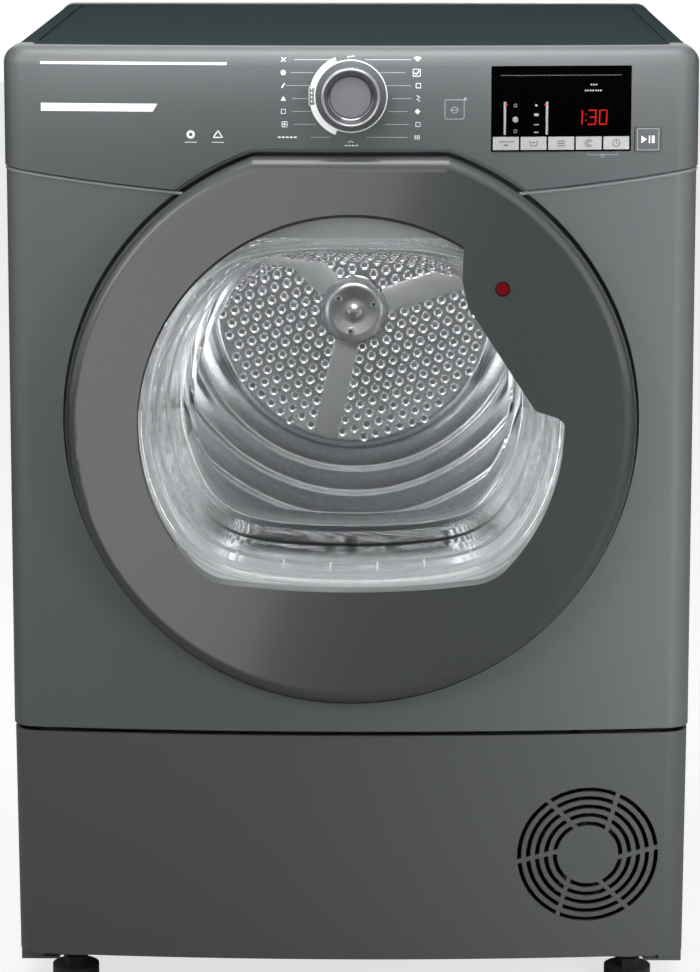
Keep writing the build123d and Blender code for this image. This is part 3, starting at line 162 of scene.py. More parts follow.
def finish(name, dark, light, rough, grain=(900, 250, 9), stretch=(1, 1, 1), bump=0.02, dust=0.0, **fixed):
    """A material whose colour runs from dark to light with the grain's tone and whose roughness runs
    between two values with its film. The grain's height lifts the surface, and dust pales what looks up."""
    made, _, speckle = start_finish(name, grain, stretch)
    colour = tinted(made, speckle["Tone"], NOISE_SPAN, dark, light)
    if dust:
        veil = made.node_tree.nodes.new("ShaderNodeGroup")
        veil.node_tree = dust_group
        veil.inputs["Amount"].default_value = dust
        made.node_tree.links.new(speckle["Film"], veil.inputs["Film"])
        colour = overlaid(made, colour, veil.outputs["Dust"], DUST_COLOUR)
    shader = end_finish(made, colour, speckle, NOISE_SPAN, rough, bump)
    for label, value in fixed.items():
        shader.inputs[label.replace("_", " ")].default_value = value
    return made


def dress(material, *names):
    """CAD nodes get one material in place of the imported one."""
    for name in names:
        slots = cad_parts[name].data.materials
        slots.clear()
        slots.append(material)


cabinet_paint = finish(
    "cabinet_paint", (0.086, 0.093, 0.095), (0.099, 0.107, 0.110), (0.34, 0.40),
    grain=(2600, 160, 6), bump=0.05, dust=0.06, Coat_Weight=0.15, Coat_Roughness=0.22,
)
base_plastic = finish(
    "base_plastic", (0.10, 0.105, 0.11), (0.14, 0.145, 0.15), (0.55, 0.7), dust=0.3, bump=0.15
)
foot_plastic = finish(
    "foot_plastic", (0.012, 0.012, 0.013), (0.022, 0.022, 0.024), (0.5, 0.65), bump=0.2, dust=0.2
)
zinc_steel = finish(
    "zinc_steel", (0.45, 0.46, 0.47), (0.53, 0.54, 0.55), (0.40, 0.46),
    grain=(150, 500, 14), bump=0.03, Metallic=0.9,
)
dress(cabinet_paint, "left_side_panel", "right_side_panel")
dress(base_plastic, "base_pan")
dress(foot_plastic, "levelling_feet")
dress(zinc_steel, "back_panel", "front_bulkhead")


# Rear hot-air duct and mains inlet.
# A pressed steel cover is screwed over the duct, and the lead would leave through a black gland.
duct_steel = finish(
    "duct_steel", (0.41, 0.42, 0.43), (0.49, 0.50, 0.51), (0.40, 0.47),
    grain=(130, 420, 11), bump=0.03, Metallic=0.9,
)
gland_plastic = finish(
    "gland_plastic", (0.010, 0.010, 0.011), (0.020, 0.020, 0.021), (0.45, 0.6), bump=0.15
)
dress(duct_steel, "rear_duct_cover")
dress(gland_plastic, "mains_inlet")


# Inner works: drive, fans, condenser, heater, pump, hose, rollers, seals and control board.
# The motor can and the idler arm are zinc-plated, the fan wheels black, the condenser finned aluminium with
# grey levers, and the belt, hose and rollers rubber. The drum's seals are felt, its shaft bearing bronze.
motor_steel = finish("motor_steel", (0.30, 0.31, 0.32), (0.42, 0.43, 0.44), (0.35, 0.5), Metallic=0.85)
fan_plastic = finish("fan_plastic", (0.016, 0.016, 0.018), (0.030, 0.030, 0.032), (0.45, 0.6), bump=0.1)
fin_aluminium = finish(
    "fin_aluminium", (0.58, 0.59, 0.60), (0.74, 0.75, 0.76), (0.28, 0.42),
    grain=(300, 900, 20), stretch=(0.05, 1, 1), Metallic=1.0,
)
lever_plastic = finish("lever_plastic", (0.16, 0.165, 0.17), (0.22, 0.225, 0.23), (0.45, 0.6), bump=0.1)
bush_bronze = finish("bush_bronze", (0.42, 0.28, 0.13), (0.55, 0.39, 0.20), (0.3, 0.45), Metallic=1.0)
black_rubber = finish("black_rubber", (0.012, 0.012, 0.012), (0.024, 0.024, 0.024), (0.6, 0.8), bump=0.1)
grey_felt = finish(
    "grey_felt", (0.16, 0.155, 0.145), (0.34, 0.33, 0.31), (0.85, 0.95),
    grain=(1400, 900, 30), bump=0.6,
)
board_green = finish(
    "board_green", (0.02, 0.09, 0.045), (0.03, 0.13, 0.065), (0.35, 0.5), grain=(400, 300, 40)
)
dress(motor_steel, "motor_housing", "motor_rotor", "heater", "idler_arm")
dress(fan_plastic, "cooling_fan", "process_fan", "fan_housing", "drain_pump", "idler_pulley", "filter_duct")
dress(fin_aluminium, "condenser_cartridge")
dress(lever_plastic, "left_lock_lever", "right_lock_lever", "lint_filter", "latch_body")
dress(bush_bronze, "shaft_bearing")
dress(black_rubber, "drum_belt", "drain_hose", "left_drum_roller", "right_drum_roller", "door_seal")
dress(grey_felt, "felt_seals")
dress(board_green, "control_board")


# Drum: a rolled and seamed stainless barrel with a pressed back.
# The back carries three plain ribs with flanged air holes between them, three round ridges outside those,
# and a turned hub cap held by three screws. Three grey plastic vanes are screwed to the barrel.
def middle(node):
    """Middle of a CAD node's box, to a hundredth of a millimetre."""
    return [round((low + high) / 2, 5) for low, high in zip(*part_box(node))]


def back_face(node):
    """Depth of the back of a CAD node's box, to a hundredth of a millimetre."""
    return round(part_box(node)[1].y, 5)


DRUM_Z = middle("drum_shell")[2]
DISC_Y = back_face("drum_hub_cap")
RING_Y = back_face("drum_shell")
RIB_ANGLES = np.radians([17.0, 137.0, 257.0])
RIB_START, RIB_LENGTH = 0.028, 0.1055
RIB_HALF_WIDTH, RIB_RISE = 0.0125, 0.0011
HOLE_PITCH = 0.0126
HOLE_STEPS = 14
HOLE_OFF_RIB = 0.0160
HOLE_REACH = (0.0375, 0.1305)
RIDGE_REACHES = (0.166, 0.190, 0.214)
RIDGE_HALF_WIDTH, RIDGE_RISE = 0.0070, 0.0011
SCREW_REACH, SCREW_Y = 0.0205, 0.1914


def grid_faces(rows, columns):
    """Quads between neighbouring rows and columns of a grid of points, closed round each row."""
    r, c = np.meshgrid(np.arange(rows - 1), np.arange(columns), indexing="ij")
    here = r * columns + c
    beside = r * columns + (c + 1) % columns
    return np.stack([here, beside, beside + columns, here + columns], axis=-1).reshape(-1, 4)


def joined(shapes):
    """Several (points, faces) shapes as one, with each one's faces counted on past the points before."""
    counts = np.cumsum([0] + [len(points) for points, _ in shapes[:-1]])
    faces = [faces + count for (_, faces), count in zip(shapes, counts)]
    return np.concatenate([points for points, _ in shapes]), np.concatenate(faces)


def many(points, faces, moves):
    """One shape repeated: its points plus each move, with the faces counted on."""
    shifted = (moves[:, None, :] + points[None, :, :]).reshape(-1, 3)
    step = np.arange(len(moves))[:, None, None] * len(points)
    return shifted, (faces[None, :, :] + step).reshape(-1, faces.shape[1])


def put_piece(name, points, faces, material, body, slot, sharp=35.0):
    """A mesh from points and faces, with doubles merged, normals outward and edges sharp past an angle."""
    mesh = bpy.data.meshes.new(name)
    mesh.from_pydata(points.tolist(), [], faces.tolist())
    work = bmesh.new()
    work.from_mesh(mesh)
    bmesh.ops.remove_doubles(work, verts=work.verts, dist=1e-6)
    bmesh.ops.recalc_face_normals(work, faces=work.faces)
    work.to_mesh(mesh)
    work.free()
    mesh.shade_smooth()
    mesh.set_sharp_from_angle(angle=math.radians(sharp))
    mesh.materials.append(material)
    piece = bpy.data.objects.new(name, mesh)
    bpy.context.scene.collection.objects.link(piece)
    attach(piece, body)
    return piece


def turns(count):
    """Even angles once round, from nought."""
    return np.linspace(0, 2 * np.pi, count, endpoint=False)


def spun(profile, columns, x=0.0, z=0.0):
    """Points of a turned shape: (radius, y) pairs carried round a front to back axis through (x, z)."""
    radius, depth = np.asarray(profile, float).T
    out = np.empty((len(radius), columns, 3))
    out[..., 0] = x + radius[:, None] * np.cos(turns(columns))
    out[..., 1] = depth[:, None]
    out[..., 2] = z + radius[:, None] * np.sin(turns(columns))
    return out.reshape(-1, 3), grid_faces(len(radius), columns)


def hole_places():
    """Middles of the air holes: in each third, steps along the two ribs that bound it, from a corner that
    stands off both ribs by the same distance."""
    i, j = np.meshgrid(np.arange(HOLE_STEPS), np.arange(HOLE_STEPS), indexing="ij")
    first = np.stack([np.cos(RIB_ANGLES), np.sin(RIB_ANGLES)], axis=-1)
    second = np.roll(first, -1, axis=0)
    corner = (first + second) * HOLE_OFF_RIB / math.sin(RIB_ANGLES[1] - RIB_ANGLES[0])
    field = i[None, ..., None] * first[:, None, None, :] + j[None, ..., None] * second[:, None, None, :]
    places = (corner[:, None, None, :] + HOLE_PITCH * field).reshape(-1, 2)
    reach = np.hypot(places[:, 0], places[:, 1])
    places = places[(reach > HOLE_REACH[0]) & (reach < HOLE_REACH[1])]
    return np.stack([places[:, 0], np.full(len(places), DISC_Y), DRUM_Z + places[:, 1]], axis=-1)


def pressed_rib(angle):
    """A rib as a flat oval loop carried out along a ray: its half width and its height rise from nothing at
    the hub, hold, and fall to nothing at the disc's edge."""
    along = np.linspace(0, 1, 40)[:, None]
    swell = np.sqrt(np.clip(1 - (2 * along - 1) ** 16, 0, 1))
    loop = turns(24)[None, :]
    out = RIB_START + RIB_LENGTH * along + 0 * loop
    side = RIB_HALF_WIDTH * swell * np.cos(loop)
    rise = RIB_RISE * swell * np.sign(np.sin(loop)) * np.abs(np.sin(loop)) ** 0.6
    x = out * math.cos(angle) - side * math.sin(angle)
    z = out * math.sin(angle) + side * math.cos(angle)
    return np.stack([x, DISC_Y - rise, DRUM_Z + z], axis=-1).reshape(-1, 3), grid_faces(*out.shape)


drum_steel = finish(
    "drum_steel", (0.38, 0.39, 0.40), (0.46, 0.47, 0.48), (0.22, 0.25),
    grain=(420, 1200, 60), stretch=(1, 0.04, 1), bump=0.0, Metallic=1.0,
)
barrel_steel = finish(
    "barrel_steel", (0.70, 0.71, 0.72), (0.77, 0.78, 0.79), (0.34, 0.37),
    grain=(420, 1200, 60), stretch=(1, 0.04, 1), bump=0.0, Metallic=0.4,
)
hub_steel = finish(
    "hub_steel", (0.38, 0.385, 0.39), (0.45, 0.455, 0.46), (0.24, 0.30), bump=0.0, Metallic=1.0
)
rib_steel = finish(
    "rib_steel", (0.28, 0.285, 0.29), (0.34, 0.345, 0.35), (0.38, 0.43), bump=0.0, Metallic=0.82
)
lip_steel = finish(
    "lip_steel", (0.60, 0.61, 0.62), (0.68, 0.69, 0.70), (0.17, 0.20), bump=0.0, Metallic=1.0
)
hole_shade_grey = finish("hole_shade_grey", (0.055, 0.056, 0.058), (0.075, 0.076, 0.078), (0.5, 0.6), bump=0.0)
socket_shade_dark = finish("socket_shade_dark", (0.03, 0.03, 0.032), (0.05, 0.05, 0.053), (0.4, 0.5), Metallic=0.8)
vane_plastic = finish("vane_plastic", (0.15, 0.155, 0.16), (0.19, 0.195, 0.20), (0.35, 0.45), bump=0.06)
dress(barrel_steel, "drum_shell")
dress(hub_steel, "drum_shaft")
dress(vane_plastic, "drum_lifters")
ridge = np.linspace(-1, 1, 17)
back = [
    (0, DISC_Y), (0.060, DISC_Y), (0.1300, DISC_Y), (0.1335, 0.2014), (0.1360, 0.2018), (0.1385, 0.2040),
    (0.1415, 0.2075), (0.1440, 0.2093), (0.1475, RING_Y),
]
for reach in RIDGE_REACHES:
    risen = RING_Y - RIDGE_RISE * (1 + np.cos(np.pi * ridge))
    back += np.stack([reach + RIDGE_HALF_WIDTH * ridge, risen], axis=-1).tolist()
back += [
    (0.2300, RING_Y), (0.2639, RING_Y), (0.2639, 0.2120), (0.1430, 0.2120), (0.1360, 0.2040), (0, 0.2040),
]
pressed_back = put_piece(
    "pressed_back", *spun(back, 144, 0, DRUM_Z), drum_steel, "drum", "drum_steel", sharp=50.0
)
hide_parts("drum_back")
holes = hole_places()
lip = spun([
    (0.0026, -0.0006), (0.0033, -0.0009), (0.0040, -0.0015), (0.0044, -0.0019), (0.0046, -0.0019),
    (0.0048, -0.0014), (0.0049, 0.0003), (0.0026, 0.0003), (0.0026, -0.0006),
], 14)
lips = put_piece("drum_hole_lips", *many(*lip, holes), lip_steel, "drum", "drum_steel", sharp=60.0)
# The air holes are dark grey discs set in the lips: painted shade for the dark that shows through them.
pit = spun([(0, -0.0005), (0.0027, -0.0005), (0.0027, 0.0003), (0, 0.0003)], 10)
pits = put_piece("drum_hole_shades", *many(*pit, holes), hole_shade_grey, "drum", "drum_steel")
rib_shapes = [pressed_rib(angle) for angle in RIB_ANGLES]
ribs = put_piece("drum_ribs", *joined(rib_shapes), rib_steel, "drum", "drum_steel", sharp=60.0)
hub = [
    (0, 0.1875), (0.0040, 0.1876), (0.0056, 0.1884), (0.0062, 0.1900), (0.0066, 0.1928), (0.0080, 0.1934),
    (0.0150, 0.1928), (0.0225, 0.1908), (0.0252, 0.1904), (0.0272, 0.1912), (0.0312, 0.1966),
    (0.0326, 0.1992), (0.0330, DISC_Y), (0, DISC_Y),
]
hub_cap = put_piece("hub_cap", *spun(hub, 72, 0, DRUM_Z), hub_steel, "drum", "drum_steel", sharp=50.0)
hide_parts("drum_hub_cap")
screw_turns = RIB_ANGLES + math.radians(3.0)
screw_places = np.stack([
    SCREW_REACH * np.cos(screw_turns), np.full(3, SCREW_Y), DRUM_Z + SCREW_REACH * np.sin(screw_turns),
], axis=-1)
screw_head = spun([
    (0, -0.0004), (0.0016, -0.0004), (0.0018, -0.0022), (0.0029, -0.0022), (0.0037, -0.0014),
    (0.0040, 0.0006), (0, 0.0006),
], 20)
hub_screws = put_piece("hub_screws", *many(*screw_head, screw_places), lip_steel, "drum", "drum_steel")
# Dark discs in the screws' recesses: painted shade.
screw_pit = spun([(0, -0.0007), (0.0015, -0.0007), (0.0015, 0.0), (0, 0.0)], 6)
hub_sockets = put_piece(
    "hub_screw_sockets", *many(*screw_pit, screw_places), socket_shade_dark, "drum", "drum_steel"
)
drum_pieces = (pressed_back, lips, pits, ribs, hub_cap, hub_screws, hub_sockets)


# Screws of the back panel.
# Zinc-plated pan heads with a round recess, driven from behind along the panel's sides and top.
SIDE_ROW_X = 0.286
SIDE_ROW_HEIGHTS = (0.09, 0.32, 0.55, 0.77)
TOP_ROW_Z = 0.813
TOP_ROW_REACHES = (-0.19, -0.06, 0.06, 0.19)
PANEL_BACK_Y = back_face("back_panel")
head_steel = finish(
    "head_steel", (0.50, 0.51, 0.52), (0.60, 0.61, 0.62), (0.28, 0.36), bump=0.0, Metallic=1.0
)
back_head = spun([
    (0, 0.0012), (0.0013, 0.0012), (0.0016, 0.0025), (0.0030, 0.0022), (0.0039, 0.0011), (0.0042, -0.0002),
    (0, -0.0002),
], 20)
back_places = [(x, PANEL_BACK_Y, z) for x in (-SIDE_ROW_X, SIDE_ROW_X) for z in SIDE_ROW_HEIGHTS]
back_places += [(x, PANEL_BACK_Y, TOP_ROW_Z) for x in TOP_ROW_REACHES]
back_heads = many(*back_head, np.array(back_places))
back_screws = put_piece("back_screws", *back_heads, head_steel, "cabinet", "zinc_steel")


# Steel front and kickplate.
# The front is one bowed sheet, pressed with the round dish that the door closes into, and its upper edge
# is rolled. The kickplate is a moulding in much the same colour, clipped on, with the air grille cut in it.
kick_paint = finish(
    "kick_paint", (0.068, 0.072, 0.074), (0.077, 0.082, 0.085), (0.36, 0.42),
    grain=(2600, 170, 6), bump=0.05, dust=0.05, Coat_Weight=0.12, Coat_Roughness=0.26,
)
dress(cabinet_paint, "front_panel")
dress(kick_paint, "kickplate")
BOW_RADIUS = 2.6
FRONT_BOW_Y = 2.32
CORNER_RADIUS = 0.022
CORNER_X, CORNER_Y = 0.275, -0.2433
EDGE_ARC_RADIUS, EDGE_ARC_Z = 1.761, 2.4802
EDGE_SIZE, EDGE_SUNK = 0.0014, 0.0005


def rolled_edge(side):
    """A round bead carried along the panel's upper edge: across the bowed face in a wide arc that climbs
    outwards, round the corner, and back along the side."""
    face_x = np.linspace(0.1385, 0.2773, 40)
    face_y = FRONT_BOW_Y - np.sqrt(BOW_RADIUS**2 - face_x**2)
    turn = np.radians(np.linspace(-83.9, 0, 14)[1:])
    back_y = np.linspace(CORNER_Y, -0.2235, 5)[1:]
    back_x = np.full(len(back_y), CORNER_X + CORNER_RADIUS)
    x = np.concatenate([face_x, CORNER_X + CORNER_RADIUS * np.cos(turn), back_x])
    y = np.concatenate([face_y, CORNER_Y + CORNER_RADIUS * np.sin(turn), back_y])
    z = EDGE_ARC_Z - np.sqrt(EDGE_ARC_RADIUS**2 - x**2)
    out = np.stack([np.gradient(y), -np.gradient(x)], axis=-1)
    out /= np.linalg.norm(out, axis=-1, keepdims=True)
    loop = turns(12)[None, :]
    size = np.full(len(x), EDGE_SIZE)
    size[[0, -1]] = 0.0
    off = size[:, None] * np.cos(loop) - EDGE_SUNK
    points = np.stack([
        side * (x[:, None] + out[:, :1] * off),
        y[:, None] + out[:, 1:] * off,
        z[:, None] + size[:, None] * np.sin(loop),
    ], axis=-1)
    return points.reshape(-1, 3), grid_faces(len(x), 12)


# The rolled edge is painted paler than the panel: a painted highlight where its top catches the light.
edge_highlight_paint = finish("edge_highlight_paint", (0.17, 0.18, 0.185), (0.20, 0.21, 0.215), (0.34, 0.40), bump=0.02)
edges = joined([rolled_edge(-1), rolled_edge(1)])
put_piece("front_rolled_edge", *edges, edge_highlight_paint, "cabinet", "cabinet_paint", sharp=60.0)


# Control fascia with its printed scale and marks.
# A painted moulding, bowed like the front and round along its top edge. The scale round the knob, the
# rules and the small signs are printed on it in white and pale grey.
fascia_paint = finish(
    "fascia_paint", (0.072, 0.078, 0.080), (0.081, 0.088, 0.091), (0.34, 0.40),
    grain=(2600, 160, 6), bump=0.05, dust=0.05, Coat_Weight=0.15, Coat_Roughness=0.22,
)
print_white = finish("print_white", (0.66, 0.67, 0.68), (0.74, 0.75, 0.76), (0.5, 0.6), bump=0.01)
print_grey = finish("print_grey", (0.26, 0.27, 0.28), (0.32, 0.33, 0.34), (0.5, 0.6), bump=0.01)
dress(fascia_paint, "control_fascia", "start_key")
FASCIA_BOW_Y = 2.318
TOP_ROUND = 0.015
ROUND_FROM_Z = 0.835
INK_PROUD = 0.00008
INK_THICK = 0.00015
STROKE_STEP = 0.004
KNOB_Z = middle("selector_knob")[2]
LEFT_SIGN_X, RIGHT_SIGN_X = -57.3, 56.6


def fascia_face(x, z):
    """Depth of the fascia's face: bowed from side to side, then round towards its top edge."""
    over = np.clip(z - ROUND_FROM_Z, 0, TOP_ROUND)
    bowed = FASCIA_BOW_Y - np.sqrt(BOW_RADIUS**2 - x**2)
    return bowed + TOP_ROUND - np.sqrt(TOP_ROUND**2 - over**2)


def ink(first, second, proud):
    """A thin band between two edges, each rows of (x, z): its front lies proud of the fascia's face by one
    distance, its back just under that, and both ends run to a point inside it."""
    edges = np.stack([first, second, second, first], axis=1)
    depth = fascia_face(edges[..., 0], edges[..., 1]) - proud + np.array([0, 0, INK_THICK, INK_THICK])
    points = np.stack([edges[..., 0], depth, edges[..., 1]], axis=-1)
    ends = points.mean(axis=1, keepdims=True).repeat(4, axis=1)
    points = np.concatenate([ends[:1], points, ends[-1:]])
    return points.reshape(-1, 3), grid_faces(len(points), 4)


def stroke(path, width, proud=INK_PROUD):
    """A line of one width along a path of (x, z) corners in millimetres, cut into short steps."""
    path = np.asarray(path, float) / 1000
    run = np.concatenate([[0], np.cumsum(np.hypot(*np.diff(path, axis=0).T))])
    steps = np.union1d(run, np.linspace(0, run[-1], max(2, int(run[-1] / STROKE_STEP))))
    line = np.stack([np.interp(steps, run, path[:, 0]), np.interp(steps, run, path[:, 1])], axis=-1)
    ahead = np.gradient(line, axis=0)
    across = np.stack([-ahead[:, 1], ahead[:, 0]], axis=-1) / np.linalg.norm(ahead, axis=-1, keepdims=True)
    return ink(line - across * width / 2000, line + across * width / 2000, proud)


def solid(first, second, proud=INK_PROUD):
    """A filled sign between two edges of (x, z) corners in millimetres."""
    return ink(np.asarray(first) / 1000, np.asarray(second) / 1000, proud)


def arc(x, z, radius, start=0.0, stop=360.0, count=49):
    """Path of (x, z) points in millimetres round a middle, from one angle to another in degrees."""
    turn = np.radians(np.linspace(start, stop, count))
    return np.stack([x + radius * np.cos(turn), z + radius * np.sin(turn)], axis=-1)


def square(x, z, half):
    """Closed path round a square."""
    return np.array([x, z]) + half * np.array([(-1, -1), (1, -1), (1, 1), (-1, 1), (-1, -1)])


def rounded_square(x, z, half, radius):
    """Closed path round a square with round corners."""
    flat = half - radius
    corners = ((1, 1, 0), (-1, 1, 90), (-1, -1, 180), (1, -1, 270))
    path = [arc(x + flat * u, z + flat * v, radius, turn, turn + 90, 3) for u, v, turn in corners]
    return np.concatenate([*path, path[0][:1]])


def put_print(name, shapes, material, body="cabinet", slot="fascia_paint"):
    """Several inked shapes as one piece."""
    put_piece(name, *joined(shapes), material, body, slot, sharp=60.0)


knob_mm = 1000 * KNOB_Z
scale = [stroke(arc(0, knob_mm, 30.7), 0.8)]
scale += [stroke(arc(0, knob_mm, 33.2, *span, 30), 4.4) for span in ((112, 167), (193, 248))]
scale += [stroke([(-35.4, 801.4), (-31.2, 801.4), (-31.2, 816.6), (-35.4, 816.6), (-35.4, 801.4)], 0.5)]
scale += [stroke([(-33.3, 803.5 + 3.6 * k), (-33.3, 805.8 + 3.6 * k)], 1.2) for k in range(4)]
put_print("fascia_scale", scale, print_white)
left_rules = ((-34, -17), (-49, -30), (-50, -33), (-50, -36), (-55, -33), (-51, -31), (-48, -17))
right_rules = ((13, 48), (29, 49), (32, 48), (35, 52), (30, 51), (24, 46), (12, 51))
rows = 774 + 11 * np.arange(7)
rules = []
for pairs in (left_rules, right_rules):
    rules += [stroke([(start, z), (stop, z)], 0.5) for (start, stop), z in zip(pairs, rows)]
put_print("fascia_rules", rules, print_grey)
x = LEFT_SIGN_X
signs = [stroke([(k, 774), (k + 2.4, 774)], 1.1) for k in (-62, -58.6, -55.2, -51.8, -48.4)]
signs += [
    stroke(square(x + 1, 785, 2.2), 0.5),
    stroke([(x - 1.2, 785), (x + 3.2, 785)], 0.5),
    stroke([(x + 1, 782.8), (x + 1, 787.2)], 0.5),
    stroke(square(x, 796, 1.8), 0.5),
    solid([(x - 2.2, 805.2), (x, 809)], [(x + 2.2, 805.2), (x, 809)]),
    stroke([(x - 1.3, 816), (x + 1, 820)], 0.9),
    stroke(arc(x, 829, 1.1, 0, 360, 17), 2.2),
    stroke([(x - 1.8, 838.4), (x + 2.2, 841.6)], 0.6),
    stroke([(x - 1.4, 841.6), (x + 1.8, 838.4)], 0.6),
]
x = RIGHT_SIGN_X
signs += [stroke([(x - 2 + 1.7 * k, 772.2), (x - 2 + 1.7 * k, 775.8)], 0.7) for k in range(3)]
signs += [
    stroke(square(x + 0.4, 785, 1.8), 0.5),
    solid([(x - 2.4, 796), (x, 793.6), (x + 2.4, 796)], [(x - 2.4, 796), (x, 798.4), (x + 2.4, 796)]),
    stroke([(x - 0.6, 809.6), (x + 2, 808), (x - 0.6, 806.4), (x + 2, 804.8)], 0.6),
    stroke(square(x + 0.6, 818, 1.9), 0.6),
    stroke(square(x - 0.8, 829, 3.0), 0.5),
    stroke([(x - 2.6, 829), (x - 1.2, 827.4), (x + 1.2, 830.8)], 0.9),
]
signs += [stroke(arc(x, 838, r, 45, 135, 9), 0.7) for r in (1.4, 2.8, 4.2)]
signs += [
    stroke([(-3.0, 842.2), (3.0, 843.0)], 0.6),
    stroke([(-2.4, 769.4), (0, 771.0), (2.4, 769.4)], 0.6),
]
signs += [stroke([(k, 767), (k + 2.2, 767)], 0.9) for k in (-5, -2, 1, 4)]
put_print("programme_signs", signs, print_white)
bar_low = np.stack([np.linspace(-264.5, -168.6, 25), np.full(25, 795.2)], axis=-1)
bar_high = np.stack([np.linspace(-264.5, -164.7, 25), np.full(25, 802.0)], axis=-1)
marks = [
    stroke([(-264.5, 836.4), (-105.4, 836.4)], 2.2),
    solid(bar_low, bar_high),
    stroke(arc(-136.3, 776, 2.6, 0, 360, 17), 2.0),
    stroke([(-141.5, 769.4), (-131.1, 769.4)], 0.5),
    stroke([(-117, 773.6), (-113.1, 779.4), (-109.2, 773.6), (-117, 773.6)], 1.0),
    stroke([(-118.3, 769.4), (-107.9, 769.4)], 0.5),
]
put_print("fascia_marks", marks, print_white)
fine_marks = [
    stroke(rounded_square(88, 797.7, 8.2, 1.6), 0.6),
    stroke(arc(88, 797.2, 2.6, 0, 360, 17), 0.6),
    stroke([(84.2, 797.2), (91.8, 797.2)], 0.6),
    stroke(arc(97, 806.6, 0.7, 0, 360, 13), 1.2),
    stroke([(201.7, 761.0), (201.7, 758.4), (227.2, 758.4), (227.2, 761.0)], 0.5),
    stroke(arc(214.5, 757.6, 1.3, 0, 360, 13), 0.6),
]
put_print("fascia_fine_marks", fine_marks, print_grey)


# Display and keys.
# A black window lies flush in the fascia with lit figures and lamps behind it. Five pale keys come
# through its lower edge, and a square start key sits beside it.
window_black = finish(
    "window_black", (0.0003, 0.0003, 0.0004), (0.0008, 0.0008, 0.0010), (0.10, 0.16),
    bump=0.0, Specular_IOR_Level=0.02,
)
key_silver = finish("key_silver", (0.30, 0.30, 0.31), (0.36, 0.36, 0.37), (0.35, 0.5), bump=0.03)
key_print = finish("key_print", (0.075, 0.075, 0.08), (0.10, 0.10, 0.105), (0.5, 0.6), bump=0.01)
lit_red = finish(
    "lit_red", (0.22, 0.004, 0.004), (0.28, 0.006, 0.005), (0.4, 0.5),
    bump=0.0, Emission_Color=(1.0, 0.02, 0.015, 1.0), Emission_Strength=0.42, Specular_IOR_Level=0.0,
)
display_grey = finish("display_grey", (0.20, 0.205, 0.21), (0.26, 0.265, 0.27), (0.5, 0.6), bump=0.01)
display_faint = finish("display_faint", (0.035, 0.036, 0.037), (0.05, 0.051, 0.052), (0.5, 0.6), bump=0.01)
dress(window_black, "display_window")
dress(key_silver, *(f"option_key_{i}" for i in range(1, 6)))
WINDOW_PROUD = 0.00042
KEY_PROUD = 0.00142


def on_window(path, width, lift=0.0):
    """A line on the display window."""
    return stroke(path, width, WINDOW_PROUD + lift)


def on_key(path, width):
    """A line on a key."""
    return stroke(path, width, KEY_PROUD)


display_rule = [on_window([(126.9, 826.5), (230.1, 826.5)], 0.7)]
put_print("display_rule", display_rule, display_faint, "cabinet", "dark_window")
dots = ((801, 0.5), (789, 2.4), (779, 0.5))
bars = ((801, 1, 1.8), (793, 2, 2.4), (784.5, 2.2, 0.9), (778, 2, 1))
upper_dashes = (203.4, 205.6, 207.8)
lower_dashes = (198.6, 200.8, 203, 205.2, 207.4, 209.6, 211.8)
shown = [on_window([(x, 776), (x, 804)], 2.0) for x in (130.8, 166.6)]
shown += [on_window(arc(139.8, z, 1.3, 0, 360, 13), width) for z, width in dots]
shown += [on_window([(157.6 - half, z), (157.6 + half, z)], width) for z, half, width in bars]
for z, dashes in ((818.4, upper_dashes), (813.4, lower_dashes)):
    shown += [on_window([(x, z), (x + 1.5, z)], 1.3) for x in dashes]
put_print("display_signs", shown, display_grey, "cabinet", "dark_window")
low, mid, high = 784.6, 790.6, 796.6
figures = [
    [(196.4, low), (196.8, high)],
    [(202.0, high), (208.4, high), (208.2, mid), (203.2, mid)],
    [(208.2, mid), (208.0, low), (201.6, low)],
    [(211.4, low), (217.4, low), (217.8, high), (211.8, high), (211.4, low)],
]
lit = [on_window(path, 0.95) for path in figures]
lit += [on_window([(199.4, z), (200.3, z)], 0.9) for z in (788, 793.2)]
lit += [on_window([(x - 0.8, 801.6), (x + 0.8, 801.6)], 1.8, INK_PROUD) for x in (132.2, 165.2)]
put_print("display_figures", lit, lit_red, "cabinet", "red_lens")
dashed = [([(2.2 * k - 5.5, 770.2), (2.2 * k - 4, 770.2)], 1.2) for k in range(6)]
key_signs = (
    dashed + [([(-2, 767.2), (2, 767.2)], 1.2)],
    [([(-3.4, 771), (-2.4, 766.6), (2.4, 766.6), (3.4, 771)], 0.8), ([(-1.6, 769.4), (1.6, 769.4)], 0.8)],
    [([(-3, z), (3, z)], 0.9) for z in (766.6, 768.6, 770.6)],
    [(arc(0, 768.6, r, 30, 330, 19), 0.7) for r in (1.5, 3.0)],
    [(arc(0, 768.6, 3.0, 0, 360, 25), 0.7), ([(0, 771), (0, 768.4), (1.6, 768.4)], 0.6)],
)
for number, sign in enumerate(key_signs, 1):
    key_x = 1000 * middle(f"option_key_{number}")[0]
    printed = [on_key(np.asarray(path) + (key_x, 0), width) for path, width in sign]
    put_print(f"key_{number}_sign", printed, key_print, f"key_{number}", "key_silver")
start_x, _, start_z = (1000 * place for place in middle("start_key"))
start_edge = [on_key(square(start_x, start_z, 9.1), 0.6)]
put_print("start_edge", start_edge, print_grey, "start", "fascia_paint")
start_sign = [
    solid([(247.5, 768.2), (252.2, 771.4)], [(247.5, 774.6), (252.2, 771.5)], KEY_PROUD),
    on_key([(254.4, 768.2), (254.4, 774.6)], 1.2),
    on_key([(257.6, 768.2), (257.6, 774.6)], 2.4),
]
put_print("start_sign", start_sign, print_white, "start", "fascia_paint")


